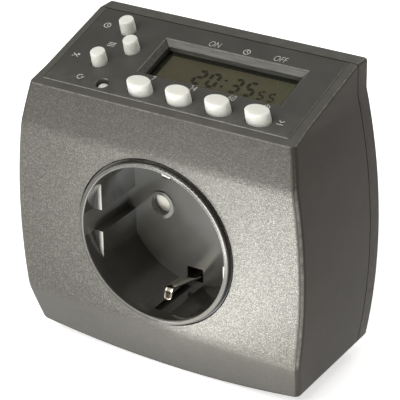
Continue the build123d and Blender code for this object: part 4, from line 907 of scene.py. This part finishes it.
# Floor and light: a plain pale table under soft boxes in front, at the left, above and behind. Two low
# white cards lie on the table in front, whose reflections light the chin and the front's right half.
FLOOR_HEIGHT, FLOOR_REACH, TABLE_GLOW = -37.3, 1500.0, 0.62
floor_points = np.array([(-1, -1), (1, -1), (1, 1), (-1, 1)]) * FLOOR_REACH
floor_points = np.column_stack([floor_points, np.full(4, FLOOR_HEIGHT)]) * MM
floor_mesh = bpy.data.meshes.new("table")
floor_mesh.from_pydata(floor_points.tolist(), [], [(0, 1, 2, 3)])
table = bpy.data.objects.new("table", floor_mesh)
scene.collection.objects.link(table)
table_paper, tree, shader, coords = finish(
    "table_paper", Roughness=0.8, Specular_IOR_Level=0.1,
    Emission_Color=(1, 1, 1, 1), Emission_Strength=TABLE_GLOW,
)
paper = tones(tree, speckle(tree, coords, 60 * MM), (0.88, 0.88, 0.88), (0.92, 0.92, 0.92))
tree.links.new(paper, shader.inputs["Base Color"])
floor_mesh.materials.append(table_paper)

LAMP_COLOUR = (1.0, 0.985, 0.955)
CARD_COLOUR, CARD_TURN = (0.96, 0.985, 1.0), 32


def softbox(name, place, target, width, height, radiance, turn=0, colour=LAMP_COLOUR):
    """An area light of this brightness at a place, aimed at a target and turned about its aim by degrees.
    Places and sizes are in millimetres."""
    light = bpy.data.lights.new(name, "AREA")
    light.shape = "RECTANGLE"
    light.size = width * MM
    light.size_y = height * MM
    light.energy = pi * light.size * light.size_y * radiance
    light.color = colour
    lamp = bpy.data.objects.new(name, light)
    scene.collection.objects.link(lamp)
    aim = (Vector(target) - Vector(place)).to_track_quat("-Z", "Y").to_matrix().to_4x4()
    aim = aim @ Matrix.Rotation(radians(turn), 4, "Z")
    lamp.matrix_world = Matrix.Translation(Vector(place) * MM) @ aim
    lamp.visible_camera = False


softbox("front_box", (-60, -520, 420), (0, -40, 0), 420, 320, 4.0)
softbox("low_box", (-280, -500, 290), (0, -40, 0), 300, 200, 4.0)
softbox("left_box", (-340, -350, 560), (0, -40, 0), 300, 300, 2.4)
softbox("top_box", (40, 90, 700), (0, -30, 0), 400, 400, 1.7)
softbox("back_box", (60, 560, 300), (0, 0, 0), 360, 300, 4.8)
softbox("chin_card", (26, -67, -36.5), (26, -67, 100), 56, 14, 2.6)
softbox("right_card", (-29, -158, -36.5), (-29, -158, 100), 57, 182, 7.9, CARD_TURN, CARD_COLOUR)

SURROUND_COLOUR, SURROUND_STRENGTH = (1.0, 0.98, 0.94, 1), 0.25
surround = bpy.data.worlds.new("surround")
scene.world = surround
surround.use_nodes = True
backdrop = surround.node_tree.nodes["Background"]
backdrop.inputs["Color"].default_value = SURROUND_COLOUR
backdrop.inputs["Strength"].default_value = SURROUND_STRENGTH


# Camera: a long lens from the right front and above, at the photograph's viewing angle. The eye lies
# back from the middle of the ring's face, and a little to the right and up, to frame the box.
AZIMUTH, ELEVATION, ROLL = radians(32.60), radians(27.42), radians(1.08)
RING_MIDDLE = Vector((0, -56.1, 0))
EYE_RIGHT, EYE_UP, EYE_BACK = 11.65, 10.58, 482.7
SENSOR_WIDTH, PICTURE_PIXELS, FOCAL_PIXELS = 36.0, 400, 2027.5
right = Vector((cos(AZIMUTH), sin(AZIMUTH), 0))
back = Vector((sin(AZIMUTH) * cos(ELEVATION), -cos(AZIMUTH) * cos(ELEVATION), sin(ELEVATION)))
up = back.cross(right)
eye = RING_MIDDLE + EYE_RIGHT * right + EYE_UP * up + EYE_BACK * back
lens = bpy.data.cameras.new("camera")
lens.sensor_width = SENSOR_WIDTH
lens.lens = SENSOR_WIDTH * (FOCAL_PIXELS / PICTURE_PIXELS)
lens.clip_start = 0.01
camera = bpy.data.objects.new("camera", lens)
scene.collection.objects.link(camera)
camera_right = cos(ROLL) * right - sin(ROLL) * up
camera_up = sin(ROLL) * right + cos(ROLL) * up
camera_axes = Matrix((camera_right, camera_up, back)).transposed()
camera.matrix_world = Matrix.Translation(eye * MM) @ camera_axes.to_4x4()
scene.camera = camera
scene.view_settings.view_transform = "Standard"
